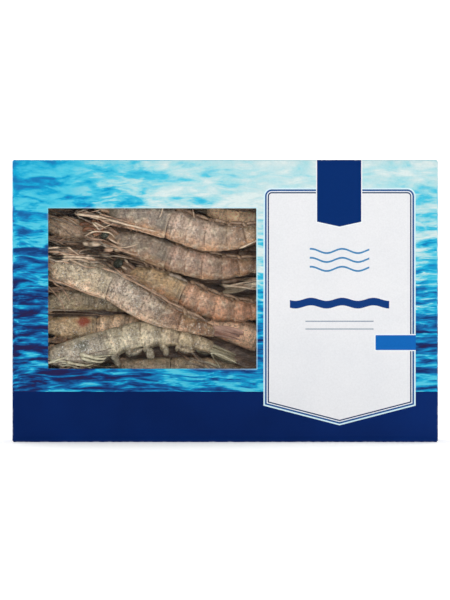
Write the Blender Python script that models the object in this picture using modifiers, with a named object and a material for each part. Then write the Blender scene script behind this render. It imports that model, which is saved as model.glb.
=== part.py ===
"""Window carton of raw whiteleg shrimp: a shut folding carton, the clear film behind its window,
the whole shrimp that show through the film, and the frozen bed behind them.

Metres, +Z up. The carton stands on one of its long narrow sides with the window facing -Y, and the
origin is at the middle of its underside.
"""

from dataclasses import dataclass
from functools import partial
from math import cos, pi, radians, sin

import bmesh
import bpy
import numpy as np
from mathutils import Matrix, Vector

MM = 0.001

# Carton, outside
CARTON_WIDTH = 300 * MM
CARTON_DEPTH = 45 * MM
CARTON_HEIGHT = 199 * MM
BOARD = 0.6 * MM
CREASE_RADIUS = 0.9 * MM
CREASE_STEPS = 2
FLAP_MARGIN = 1.2 * MM
FLAP_CORNER = 5 * MM
GAP = 0.3 * MM

# Window in the front panel, measured from the carton's middle and underside
WINDOW_LEFT = -124.7 * MM
WINDOW_RIGHT = 22.0 * MM
WINDOW_BOTTOM = 51.8 * MM
WINDOW_TOP = 164.8 * MM
FILM = 0.3 * MM
FILM_MARGIN = 9 * MM

# Shrimp at size 1: 152 mm from the tip of its rostrum to the tip of its telson
CARAPACE_LENGTH = 40 * MM
PLATE_LENGTHS = [length * MM for length in (10, 12, 14, 12, 10.5, 17)]
TELSON_LENGTH = 16.5 * MM
ROSTRUM_LENGTH = 20 * MM
ABDOMEN_LENGTH = sum(PLATE_LENGTHS)
BODY_LENGTH = CARAPACE_LENGTH + ABDOMEN_LENGTH
# Along the body from the eye socket: how far the shell reaches towards the back, the belly and each side
GIRTH = np.array([
    (0, 6.6, 3.0, 4.0),
    (6, 8.2, 6.0, 6.0),
    (16, 9.6, 9.6, 7.4),
    (30, 10.4, 11.6, 8.0),
    (40, 10.4, 10.9, 7.9),
    (52, 10.8, 9.8, 7.5),
    (64, 11.0, 9.8, 7.2),
    (76, 9.9, 8.9, 6.5),
    (88, 8.0, 7.2, 5.4),
    (99, 6.4, 5.8, 4.5),
    (115.5, 4.8, 4.0, 3.4),
]) * MM
CARAPACE_STATIONS = [along * MM for along in (0, 2.5, 8, 16, 26, 35)]
NOSE = 0.75
SHELL_STEP = 0.05
BELLY_SCALLOP = 0.07
PLATE_EDGE = 0.4 * MM
PLATE_MIDDLE = 0.55
PLATE_HINGE = 0.4
BODY_SIDES = 10

# Frozen bed behind the shrimp: the mean depth of its front, and the low ridges across it
BED_FRONT = 19.0 * MM
BED_RIDGE = 1.0 * MM
BED_RIDGE_PITCH = 19 * MM
BED_RIDGE_SLOPE = 0.28
BED_RIDGE_SWAY = 0.9
BED_SWAY_LENGTH = 28 * MM
BED_MARGIN = 1.0 * MM
BED_COLUMNS = 15
BED_ROWS = 24


@dataclass
class Shrimp:
    """A shrimp on its side. The joint is between carapace and abdomen, as (x, y, z) in millimetres.

    In degrees: the heading runs from head to tail as seen through the window, the bend curls the tail
    towards the belly, the neck turns the carapace against the first plate, and the roll brings the back
    towards the window. In millimetres: head_out leans the head towards the window, as far as that at the
    eye socket, and tail_in sinks the end of the tail.
    """

    name: str
    joint: tuple
    heading: float
    bend: float
    back_up: bool
    size: float = 1.0
    girth: float = 1.0
    neck: float = 0.0
    roll: float = 0.0
    head_out: float = 0.0
    tail_in: float = 0.0
    legs: bool = False
    legs_spread: bool = False

    @property
    def turn(self):
        """1 where the back is on the left of someone who walks from head to tail, and -1 on the right."""
        return 1 if self.back_up == (cos(radians(self.heading)) > 0) else -1


SHRIMP = (
    # The five that lie nearest to the window
    Shrimp("shrimp_top", (-40.5, -11.4, 155.0), -19, 33, back_up=False,
           size=1.08, girth=1.10, neck=4, roll=8, legs=True),
    Shrimp("shrimp_second", (-41.0, -3.2, 132.1), -15.5, 23, back_up=False,
           size=1.00, girth=1.05, neck=-4, roll=16, legs=True),
    Shrimp("shrimp_third", (-30.9, 0.1, 105.3), -23, 30, back_up=False,
           size=1.00, girth=1.04, roll=16, head_out=-4.5, legs=True),
    Shrimp("shrimp_middle", (-82.0, -11.6, 111.0), -32, 15, back_up=False,
           size=1.09, girth=1.06, neck=13, roll=4, legs=True),
    Shrimp("shrimp_bottom", (-85.5, -4.2, 67.7), 15, 33, back_up=True,
           size=1.04, girth=1.08, roll=-10, head_out=8, legs=True, legs_spread=True),
    # The seven that show between and behind them
    Shrimp("shrimp_left", (-96.0, 10.8, 100.8), -4, 2, back_up=False,
           size=0.84, girth=0.98, neck=7, head_out=14, tail_in=1.6),
    Shrimp("shrimp_left_low", (-92.6, 9.8, 80.2), 5, 25, back_up=True,
           size=0.92, girth=0.96, neck=-5, head_out=15),
    Shrimp("shrimp_left_high", (-95.0, 10.2, 149.6), -5, 0, back_up=True, size=0.86, head_out=9),
    Shrimp("shrimp_corner", (60.0, 5.0, 153.0), 176, 10, back_up=False, size=0.98),
    Shrimp("shrimp_right", (84.0, 9.6, 112.8), 180, 4, back_up=True, size=0.92),
    Shrimp("shrimp_right_low", (24.0, 8.8, 71.8), -20, 10, back_up=False, size=0.98),
    Shrimp("shrimp_base", (-39.5, 8.4, 49.8), 0, 15, back_up=True, size=0.95),
)


def clear_scene():
    for obj in list(bpy.data.objects):
        bpy.data.objects.remove(obj)


def collection(name, helper=False):
    made = bpy.data.collections.new(name)
    bpy.context.scene.collection.children.link(made)
    made.hide_render = helper
    return made


def material(name, colour, roughness, alpha=1.0):
    made = bpy.data.materials.new(name)
    made.use_nodes = True
    shader = made.node_tree.nodes["Principled BSDF"]
    shader.inputs["Base Color"].default_value = (*colour, 1)
    shader.inputs["Roughness"].default_value = roughness
    shader.inputs["Alpha"].default_value = alpha
    made.diffuse_color = (*colour, alpha)
    return made


def new_object(name, bm, where, finish=None):
    """Moves a bmesh into a new object."""
    mesh = bpy.data.meshes.new(name)
    bm.to_mesh(mesh)
    bm.free()
    if finish:
        mesh.materials.append(finish)
    obj = bpy.data.objects.new(name, mesh)
    where.objects.link(obj)
    return obj


def box(bm, low, high):
    """A box between two corners."""
    low, high = Vector(low), Vector(high)
    verts = bmesh.ops.create_cube(bm, size=1)["verts"]
    bmesh.ops.scale(bm, verts=verts, vec=high - low)
    bmesh.ops.translate(bm, verts=verts, vec=(low + high) / 2)


def box_object(name, low, high, where, finish=None):
    bm = bmesh.new()
    box(bm, low, high)
    return new_object(name, bm, where, finish)


def boolean(obj, operation, other, solver="EXACT"):
    """Adds a Boolean with an object, or with every object of a collection."""
    made = obj.modifiers.new(operation.title(), "BOOLEAN")
    made.operation = operation
    made.solver = solver
    if isinstance(other, bpy.types.Collection):
        made.operand_type = "COLLECTION"
        made.collection = other
    else:
        made.object = other


# ---------------------------------------------------------------- carton and film


def end_flap(side, cutters):
    """The outer flap of one end: folded round from the front panel, with its two free corners cut off."""
    outer = side * CARTON_WIDTH / 2
    inner = outer - side * 3 * BOARD
    front, free = -CARTON_DEPTH / 2, CARTON_DEPTH / 2 - FLAP_MARGIN
    low, high = FLAP_MARGIN, CARTON_HEIGHT - FLAP_MARGIN
    bm = bmesh.new()
    box(bm, (min(outer, inner), front, low), (max(outer, inner), free, high))

    def edges_at(*planes):
        """Edges that lie in every plane, each given as an axis and a place on it."""
        return [
            edge for edge in bm.edges
            if all(abs(vertex.co[axis] - at) < GAP for vertex in edge.verts for axis, at in planes)
        ]

    fold = edges_at((0, outer), (1, front))
    bmesh.ops.bevel(bm, geom=fold, offset=CREASE_RADIUS, segments=CREASE_STEPS, profile=0.5, affect="EDGES")
    corners = edges_at((1, free), (2, low)) + edges_at((1, free), (2, high))
    bmesh.ops.bevel(bm, geom=corners, offset=FLAP_CORNER, segments=1, affect="EDGES")
    return new_object(f"end_flap_{side}", bm, cutters)


def build_carton(parts, cutters):
    """The folded and glued board: four panels, a flap over each end, and the window in the front."""
    board = material("coated board", (0.05, 0.28, 0.52), 0.35)
    x, y, z = CARTON_WIDTH / 2 - BOARD, CARTON_DEPTH / 2, CARTON_HEIGHT
    carton = box_object("carton", (-x, -y, 0), (x, y, z), parts, board)
    crease = carton.modifiers.new("Creases", "BEVEL")
    crease.width = CREASE_RADIUS
    crease.segments = CREASE_STEPS
    for side in (-1, 1):
        boolean(carton, "UNION", end_flap(side, cutters))
    inside = box_object(
        "carton_inside", (-x + BOARD, -y + BOARD, BOARD), (x - BOARD, y - BOARD, z - BOARD), cutters
    )
    window = box_object(
        "window_cut",
        (WINDOW_LEFT, -y - BOARD, WINDOW_BOTTOM),
        (WINDOW_RIGHT, -y + 3 * BOARD, WINDOW_TOP),
        cutters,
    )
    for cutter in (inside, window):
        boolean(carton, "DIFFERENCE", cutter)
    for helper in cutters.objects:
        helper.hide_render = True
        helper.display_type = "WIRE"


def build_film(parts):
    """The clear sheet glued behind the window, wider than it all round."""
    clear = material("clear film", (0.9, 0.93, 0.95), 0.08, 0.15)
    front = -CARTON_DEPTH / 2 + BOARD + GAP
    low = (WINDOW_LEFT - FILM_MARGIN, front, WINDOW_BOTTOM - FILM_MARGIN)
    high = (WINDOW_RIGHT + FILM_MARGIN, front + FILM, WINDOW_TOP + FILM_MARGIN)
    box_object("window_film", low, high, parts, clear)


# ---------------------------------------------------------------- shrimp


class Spine:
    """Bends a straight shrimp, whose points are (along, side, up), into its place in the carton.

    The carapace stays straight. The neck eases out over the first plate, and the heading swings smoothly
    through the bend from there to the tail.
    """

    STEPS = 120
    LEAN_POWER = 1.3

    def __init__(self, shrimp):
        self.shrimp = shrimp
        share = np.linspace(0, 1, self.STEPS + 1)
        swing = share - np.sin(2 * pi * share) / (2 * pi)
        self.alongs = share * ABDOMEN_LENGTH
        eased = np.clip(self.alongs / PLATE_LENGTHS[0], 0, 1)
        neck = shrimp.neck * (1 - eased * eased * (3 - 2 * eased))
        self.angles = np.radians(shrimp.heading + neck - shrimp.turn * shrimp.bend * swing)
        middle = (self.angles[1:] + self.angles[:-1]) / 2
        step = ABDOMEN_LENGTH / self.STEPS
        self.xs = np.concatenate([[0], np.cumsum(np.cos(middle)) * step])
        self.zs = np.concatenate([[0], np.cumsum(np.sin(middle)) * step])

    def place(self, points):
        shrimp = self.shrimp
        along = points[:, 0] - CARAPACE_LENGTH
        held = np.clip(along, 0, ABDOMEN_LENGTH)
        angle, x, z = (np.interp(held, self.alongs, values) for values in (self.angles, self.xs, self.zs))
        x = x + (along - held) * np.cos(angle)
        z = z + (along - held) * np.sin(angle)
        head = np.clip(-along / CARAPACE_LENGTH, 0, None) ** self.LEAN_POWER
        tail = np.clip(along / ABDOMEN_LENGTH, 0, None) ** self.LEAN_POWER
        roll = radians(shrimp.roll)
        side = points[:, 1] * shrimp.girth
        up = points[:, 2] * shrimp.girth
        back = (up * cos(roll) - side * sin(roll)) * shrimp.turn
        out = up * sin(roll) + side * cos(roll)
        placed = np.column_stack([x - back * np.sin(angle), -out, z + back * np.cos(angle)]) * shrimp.size
        placed[:, 1] += (shrimp.tail_in * tail - shrimp.head_out * head) * MM
        return placed + np.array(shrimp.joint) * MM


def girth_at(along):
    """Reach towards the back, the belly and each side at a place along the body."""
    return np.array([np.interp(along, GIRTH[:, 0], GIRTH[:, column]) for column in (1, 2, 3)])


def body_sections():
    """(place along the body, size of the section, size of its belly side).

    The shell steps in where one plate ends and the next begins, and each plate hangs lowest at its middle.
    """
    sections = [(along, NOSE if along == 0 else 1, 1) for along in CARAPACE_STATIONS]
    sections.append((CARAPACE_LENGTH, 1 + SHELL_STEP / 2, 1))
    start = CARAPACE_LENGTH
    for length in PLATE_LENGTHS:
        sections.append((start + PLATE_EDGE, 1 - SHELL_STEP, 1 - BELLY_SCALLOP))
        sections.append((start + PLATE_MIDDLE * length, 1, 1 + BELLY_SCALLOP))
        sections.append((start + length - PLATE_EDGE, 1, 1 - BELLY_SCALLOP / 2))
        start += length
    return sections


def body(bm):
    """A loft through the sections, each of two half ovals, closed at both ends."""
    rings = []
    for along, size, belly in body_sections():
        back_reach, belly_reach, side_reach = girth_at(along) * size
        ring = []
        for k in range(BODY_SIDES):
            angle = 2 * pi * (k + 0.5) / BODY_SIDES
            reach = back_reach if cos(angle) > 0 else belly_reach * belly
            ring.append(bm.verts.new((along, side_reach * sin(angle), reach * cos(angle))))
        rings.append(ring)
    for ring, after in zip(rings, rings[1:]):
        for k in range(BODY_SIDES):
            following = (k + 1) % BODY_SIDES
            bm.faces.new((ring[k], after[k], after[following], ring[following]))
    bm.faces.new(rings[0])
    bm.faces.new(rings[-1])


def blade(bm, start, end, start_width, end_width, thickness, sides=6, spin=0.0):
    """A flat tapered paddle, in millimetres, lying across the body unless it is spun about its length."""
    start, end = Vector(start) * MM, Vector(end) * MM
    along = end - start
    taper = end_width / start_width
    verts = bmesh.ops.create_cone(
        bm, cap_ends=True, segments=sides, radius1=0.5, radius2=0.5 * taper, depth=along.length
    )["verts"]
    bmesh.ops.scale(bm, verts=verts, vec=(start_width * MM, thickness * MM, 1))
    bmesh.ops.rotate(bm, verts=verts, cent=(0, 0, 0), matrix=Matrix.Rotation(spin, 3, "Z"))
    bmesh.ops.rotate(bm, verts=verts, cent=(0, 0, 0), matrix=along.to_track_quat("Z", "Y").to_matrix())
    bmesh.ops.translate(bm, verts=verts, vec=(start + end) / 2)


def rostrum(bm):
    """The spike between the eyes, as a thin blade on edge."""
    blade(bm, (5, 0, 7.0), (-ROSTRUM_LENGTH / MM, 0, 6.2), 3.8, 0.7, 1.5, sides=4, spin=pi / 2)


def telson(bm):
    end = BODY_LENGTH / MM
    blade(bm, (end - 3, 0, 1.6), (end + TELSON_LENGTH / MM, 0, 0.6), 5, 1.4, 2.6)


def uropod(bm, side, number):
    """One of the two flat blades that spread on each side of the telson."""
    end = BODY_LENGTH / MM
    drop = 1.0 + 1.2 * number
    tip = (end + 16 + 2 * number, side * (2.6 + 1.6 * number), -1.7 * drop)
    blade(bm, (end - 3, side * 1.6, -0.5 * drop), tip, 3.4, 5.6, 1.5, spin=side * 0.9)


def eye(bm, side):
    at = Matrix.Translation((-2.0 * MM, side * 4.0 * MM, 2.6 * MM))
    bmesh.ops.create_icosphere(bm, subdivisions=1, radius=2.7 * MM, matrix=at)


def antenna_scale(bm, side):
    """The flat plate beside the foot of each long antenna."""
    blade(bm, (4, side * 2.6, 0), (-15, side * 3.2, 0.4), 4.6, 2.6, 1.6, spin=pi / 2)


def walking_legs(bm, side, row):
    """A bundle of the legs, which lie folded forward under the carapace."""
    start = (26 - 8 * row, side * 3.2, -9.0 + row)
    end = (-7 * row, side * (4.2 - row), -11.0 + 2.6 * row)
    blade(bm, start, end, 3.2, 1.4, 2.4, sides=5)


def swimming_leg(bm, side, hinge, spread):
    """A leg under an abdominal plate, hanging away from the belly or folded back along it."""
    back, drop = (6.5, 4) if spread else (10, 0.6)
    along, below = hinge / MM, girth_at(hinge)[1] / MM
    end = (along + back, side * 2.2, -below - drop)
    blade(bm, (along, side * 2.8, -0.7 * below), end, 4.2, 4.6, 2.0, sides=5, spin=pi / 2)


def shrimp_pieces(shrimp):
    """Functions that each draw one closed piece of a straight shrimp."""
    pieces = [body, rostrum, telson]
    for side in (-1, 1):
        pieces.append(partial(uropod, side=side, number=1))
        if not shrimp.legs:
            continue
        pieces.append(partial(uropod, side=side, number=0))
        pieces.append(partial(eye, side=side))
        pieces.append(partial(antenna_scale, side=side))
        pieces += [partial(walking_legs, side=side, row=row) for row in range(3)]
        start = CARAPACE_LENGTH
        for length in PLATE_LENGTHS[:-1]:
            hinge = start + PLATE_HINGE * length
            pieces.append(partial(swimming_leg, side=side, hinge=hinge, spread=shrimp.legs_spread))
            start += length
    return pieces


def build_shrimp(shrimp, parts, shell):
    """Bends every piece along the spine, then joins them into one solid."""
    spine = Spine(shrimp)
    joined = collection("joined_pieces", helper=True)
    solid = None
    for draw in shrimp_pieces(shrimp):
        bm = bmesh.new()
        draw(bm)
        placed = spine.place(np.array([vertex.co for vertex in bm.verts]))
        for vertex, co in zip(bm.verts, placed):
            vertex.co = co
        bm.normal_update()
        bmesh.ops.recalc_face_normals(bm, faces=bm.faces)
        if solid is None:
            solid = new_object(shrimp.name, bm, parts, shell)
        else:
            new_object("piece", bm, joined)
    boolean(solid, "UNION", joined, "MANIFOLD")
    mesh = bpy.data.meshes.new_from_object(solid.evaluated_get(bpy.context.evaluated_depsgraph_get()))
    solid.modifiers.clear()
    solid.data = mesh
    for piece in list(joined.objects):
        bpy.data.objects.remove(piece)
    bpy.data.collections.remove(joined)
    mesh.shade_smooth()
    mesh.set_sharp_from_angle(angle=radians(35))


# ---------------------------------------------------------------- frozen bed


def bed_front(x, z):
    """Depth of the bed's front face: low slanting ridges, as of more shrimp under the ice."""
    phase = 2 * pi * (z + BED_RIDGE_SLOPE * x) / BED_RIDGE_PITCH
    return BED_FRONT - BED_RIDGE * cos(phase + BED_RIDGE_SWAY * sin(x / BED_SWAY_LENGTH))


def build_bed(parts):
    """The frozen layer at the back of the carton, with a flat back and a ridged front."""
    ice = material("frozen bed", (0.16, 0.12, 0.09), 0.5)
    across = CARTON_WIDTH / 2 - 2 * BOARD - BED_MARGIN
    low, high = BOARD + GAP, CARTON_HEIGHT - BOARD - BED_MARGIN
    back = CARTON_DEPTH / 2 - BOARD - GAP
    bm = bmesh.new()
    bmesh.ops.create_grid(bm, x_segments=BED_COLUMNS, y_segments=BED_ROWS, size=1)
    for vertex in bm.verts:
        x, z = vertex.co.x * across, (low + high) / 2 + vertex.co.y * (high - low) / 2
        vertex.co = (x, bed_front(x, z), z)
    grown = bmesh.ops.extrude_face_region(bm, geom=bm.faces[:])["geom"]
    for vertex in (item for item in grown if isinstance(item, bmesh.types.BMVert)):
        vertex.co.y = back
    bm.normal_update()
    bmesh.ops.dissolve_limit(bm, angle_limit=radians(1), verts=bm.verts, edges=bm.edges)
    bmesh.ops.recalc_face_normals(bm, faces=bm.faces)
    new_object("frozen_bed", bm, parts, ice)


def main():
    clear_scene()
    parts = collection("window carton of shrimp")
    cutters = collection("cutters", helper=True)
    build_carton(parts, cutters)
    build_film(parts)
    build_bed(parts)
    shell = material("raw shell", (0.42, 0.33, 0.26), 0.45)
    for shrimp in SHRIMP:
        build_shrimp(shrimp, parts, shell)


main()
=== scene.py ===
"""Looks of a shut window carton of raw whiteleg shrimp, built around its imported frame.

The frame is in metres. Shapes are drawn in millimetres and scaled when their mesh is made: +X to the right as
the window is faced, +Y to the back, +Z up, with the origin under the middle of the carton.
"""

from dataclasses import dataclass
from functools import partial
from math import cos, pi, radians, sin

import bmesh
import bpy
import numpy as np
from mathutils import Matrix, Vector, noise
from mathutils.bvhtree import BVHTree


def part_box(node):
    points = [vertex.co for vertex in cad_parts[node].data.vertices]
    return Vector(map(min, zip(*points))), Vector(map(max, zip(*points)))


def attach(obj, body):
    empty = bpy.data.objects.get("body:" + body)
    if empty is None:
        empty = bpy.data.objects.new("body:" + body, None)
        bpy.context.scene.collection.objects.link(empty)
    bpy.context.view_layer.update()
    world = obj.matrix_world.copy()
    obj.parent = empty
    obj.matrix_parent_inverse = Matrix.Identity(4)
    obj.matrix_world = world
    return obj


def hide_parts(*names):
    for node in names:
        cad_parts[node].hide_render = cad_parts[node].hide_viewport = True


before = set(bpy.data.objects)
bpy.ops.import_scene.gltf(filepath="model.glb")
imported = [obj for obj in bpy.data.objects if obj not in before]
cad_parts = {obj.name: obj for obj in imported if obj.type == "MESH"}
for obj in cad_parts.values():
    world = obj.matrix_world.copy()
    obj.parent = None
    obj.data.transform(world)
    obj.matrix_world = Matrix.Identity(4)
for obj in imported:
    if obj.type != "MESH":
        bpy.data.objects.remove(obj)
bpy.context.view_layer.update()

MM = 0.001
# The carton, as in the frame
HALF_WIDTH, HALF_DEPTH, HEIGHT = 150.0, 22.5, 199.0
# The setting that follows a node's kind, where it isn't its operation
MODES = {"Mix": "data_type", "MapRange": "interpolation_type", "Attribute": "attribute_name"}

# ---- helpers


def linear(code):
    """Linear red, green, blue and alpha of an sRGB hex code."""
    parts = [int(code[at:at + 2], 16) / 255 for at in (1, 3, 5)]
    return (*(part / 12.92 if part <= 0.04045 else ((part + 0.055) / 1.055) ** 2.4 for part in parts), 1)


def give(socket, given):
    """Links the socket to another one, or sets its value or its hex colour."""
    if isinstance(given, bpy.types.NodeSocket):
        socket.id_data.links.new(given, socket)
    elif given is not None:
        socket.default_value = linear(given) if isinstance(given, str) else given


def add_node(tree, kind, *inputs, out=None, stops=None, blend="LINEAR"):
    """Adds a node, and gives its first output or the one that is named.

    The kind may go on with the node's operation or main setting, as in "Math ADD". The inputs go to its
    sockets in their order: a socket to link, a hex colour, a value, or None to leave one as it is. The stops
    are a ramp's, as (place, hex colour).
    """
    kind, _, mode = kind.partition(" ")
    node = tree.nodes.new("ShaderNode" + kind)
    if mode:
        setattr(node, MODES.get(kind, "operation"), mode)
    for socket, given in zip([socket for socket in node.inputs if socket.enabled], inputs):
        give(socket, given)
    if stops:
        ramp = node.color_ramp
        ramp.interpolation = blend
        while len(ramp.elements) < len(stops):
            ramp.elements.new(1)
        for element, (place, code) in zip(ramp.elements, stops):
            element.position = place
            element.color = linear(code)
    return node.outputs[out] if out else next(socket for socket in node.outputs if socket.enabled)


def dress_material(made, **sockets):
    """Gives the sockets of the material's shader, named with underscores for spaces."""
    shader = made.node_tree.nodes["Principled BSDF"]
    for name, given in sockets.items():
        give(shader.inputs[name.replace("_", " ")], given)
    return made


def new_finish(name):
    """What adds a node to a new material, and what dresses its shader and gives the material."""
    made = bpy.data.materials.new(name)
    made.use_nodes = True
    return partial(add_node, made.node_tree), partial(dress_material, made)


def put_in_scene(name, data):
    """A new object of a mesh, a light or a camera."""
    obj = bpy.data.objects.new(name, data)
    bpy.context.scene.collection.objects.link(obj)
    return obj


def smooth(values, low, high):
    """Eases from 0 at low to 1 at high."""
    share = np.clip((np.asarray(values, float) - low) / (high - low), 0, 1)
    return share * share * (3 - 2 * share)


def ripple(points, pitch, seed=0):
    """Smooth noise from -1 to 1 at each point, of about the given pitch in millimetres."""
    return np.array([noise.noise(Vector(point) / pitch + Vector((seed, seed * 0.7, 0))) for point in points])


def bell(offset, width):
    """A hump of 1 at no offset, which falls away over the width."""
    return np.exp(-(offset / width) ** 2)


def curve_through(points, step=0.8):
    """A smooth curve through the points, sampled about every step millimetres."""
    knots = np.array(points, float)
    knots = np.vstack([2 * knots[0] - knots[1], knots, 2 * knots[-1] - knots[-2]])
    samples = []
    for before, start, end, after in zip(knots, knots[1:], knots[2:], knots[3:]):
        count = max(2, int(np.linalg.norm(end - start) / step))
        t = np.linspace(0, 1, count, endpoint=False)[:, None]
        samples.append(
            0.5 * (2 * start + (end - before) * t + (2 * before - 5 * start + 4 * end - after) * t ** 2
                   + (3 * start - before - 3 * end + after) * t ** 3)
        )
    return np.vstack([*samples, knots[-2:-1]])


class Draft:
    """Gathers the faces of one piece, in millimetres, with what its finish reads at each point.

    The grain is the point's place before the piece is bent, and the marks are (joint line, pale rim, place
    between the two ends of a plate).
    """

    def __init__(self):
        self.points, self.marks, self.faces, self.slots = [], [], [], []

    def add(self, points, faces, slot=0, marks=None):
        start = len(self.points)
        self.points += [tuple(point) for point in points]
        self.marks += [tuple(mark) for mark in (np.zeros((len(points), 3)) if marks is None else marks)]
        self.faces += [tuple(start + corner for corner in face) for face in faces]
        self.slots += [slot] * len(faces)

    def loft(self, rings, slot=0, marks=None):
        """A closed skin over rings of points, with a fan over each end."""
        rings = np.asarray(rings, float)
        count, around = rings.shape[:2]
        corner = np.arange(around)
        following = (corner + 1) % around
        faces = []
        for low in range(0, (count - 1) * around, around):
            high = low + around
            faces += zip(low + corner, high + corner, high + following, low + following)
        faces += zip(np.full(around, count * around), corner, following)
        low = (count - 1) * around
        faces += zip(np.full(around, count * around + 1), low + following, low + corner)
        points = np.vstack([rings.reshape(-1, 3), rings[0].mean(0), rings[-1].mean(0)])
        if marks is not None:
            marks = np.asarray(marks, float)
            marks = np.vstack([marks.reshape(-1, 3), marks[0].mean(0), marks[-1].mean(0)])
        self.add(points, faces, slot, marks=marks)

    def tube(self, path, widths, thicknesses, across=(0, 1, 0), sides=8, slot=1):
        """A limb along a path, oval in section, whose width lies along the across direction."""
        path = np.array(path, float)
        share = np.linspace(0, 1, len(path))
        wide, thick = (np.interp(share, np.linspace(0, 1, len(sizes)), sizes)[:, None, None] / 2
                       for sizes in (widths, thicknesses))
        ahead = np.gradient(path, axis=0)
        ahead /= np.linalg.norm(ahead, axis=1)[:, None] + 1e-9
        across = np.array(across, float) - ahead * (ahead @ np.array(across, float))[:, None]
        across /= np.linalg.norm(across, axis=1)[:, None] + 1e-9
        beside = np.cross(ahead, across)
        turn = 2 * pi * np.arange(sides) / sides
        rings = (path[:, None] + wide * across[:, None] * np.cos(turn)[None, :, None]
                 + thick * beside[:, None] * np.sin(turn)[None, :, None])
        self.loft(rings, slot)

    def mesh(self, name, finishes, place=None):
        """The faces as a mesh, bent into their place."""
        points = np.array(self.points)
        mesh = bpy.data.meshes.new(name)
        mesh.from_pydata(((place(points) if place else points) * MM).tolist(), [], self.faces)
        for finish in finishes:
            mesh.materials.append(finish)
        return mesh

    def build(self, name, finishes, place=None, sharp=None):
        """Makes the piece's object, riding on the carton."""
        mesh = self.mesh(name, finishes, place)
        for key, values in (("grain", self.points), ("marks", self.marks)):
            layer = mesh.attributes.new(key, "FLOAT_VECTOR", "POINT")
            layer.data.foreach_set("vector", np.array(values, np.float32).ravel())
        mesh.polygons.foreach_set("material_index", self.slots)
        bm = bmesh.new()
        bm.from_mesh(mesh)
        bm.normal_update()
        bmesh.ops.recalc_face_normals(bm, faces=bm.faces)
        bm.to_mesh(mesh)
        bm.free()
        mesh.shade_smooth()
        if sharp:
            mesh.set_sharp_from_angle(angle=radians(sharp))
        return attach(put_in_scene(name, mesh), "root")


# ---- finishes of the carton

# Print, measured on its panel: rectangles as (left, bottom, right, top)
WINDOW = (-124.7, 51.8, 22, 164.8)
LABEL = (30.9, -60, 130.3, 175.3)
# The label's lower edge is a shallow point: this high at its middle, and rising by the slope to each side
LABEL_MIDDLE, LABEL_TIP, LABEL_SLOPE = 80.6, 15.8, 0.2593
# The top tab's upper edge is past the carton's, and its foot is a point
TOP_TAB = (64.8, 100, 95.8, 240)
TOP_TAB_POINT, TOP_TAB_SLOPE = 152, 0.22
SIDE_TAB = (106, 65, 150, 75.4)
TABS_END = 134.3
BACK_PANEL = (-118, 52, 118, 178)
FIELD_HEIGHT = 42
# Top of the dark band that runs round the foot
BAND_TOP = 35.6
# What is further out than this belongs to the front or to the back
PANEL_DEPTH = HALF_DEPTH - 0.7


def beyond(add, place, middle, half):
    """How far a place lies outside a box along each axis, or 0 where it is within the box's sides."""
    value = add("VectorMath SUBTRACT", place, middle)
    value = add("VectorMath SUBTRACT", add("VectorMath ABSOLUTE", value), half)
    return add("VectorMath MAXIMUM", value, (0, 0, 0))


def outside(add, flat, box, corner):
    """Millimetres outside a rectangle with round corners; within it the value is below 0."""
    left, bottom, right, top = box
    middle = ((left + right) / 2, 0, (bottom + top) / 2)
    half = ((right - left) / 2 - corner, 1000, (top - bottom) / 2 - corner)
    return add("Math SUBTRACT", add("VectorMath LENGTH", beyond(add, flat, middle, half)), corner)


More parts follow.
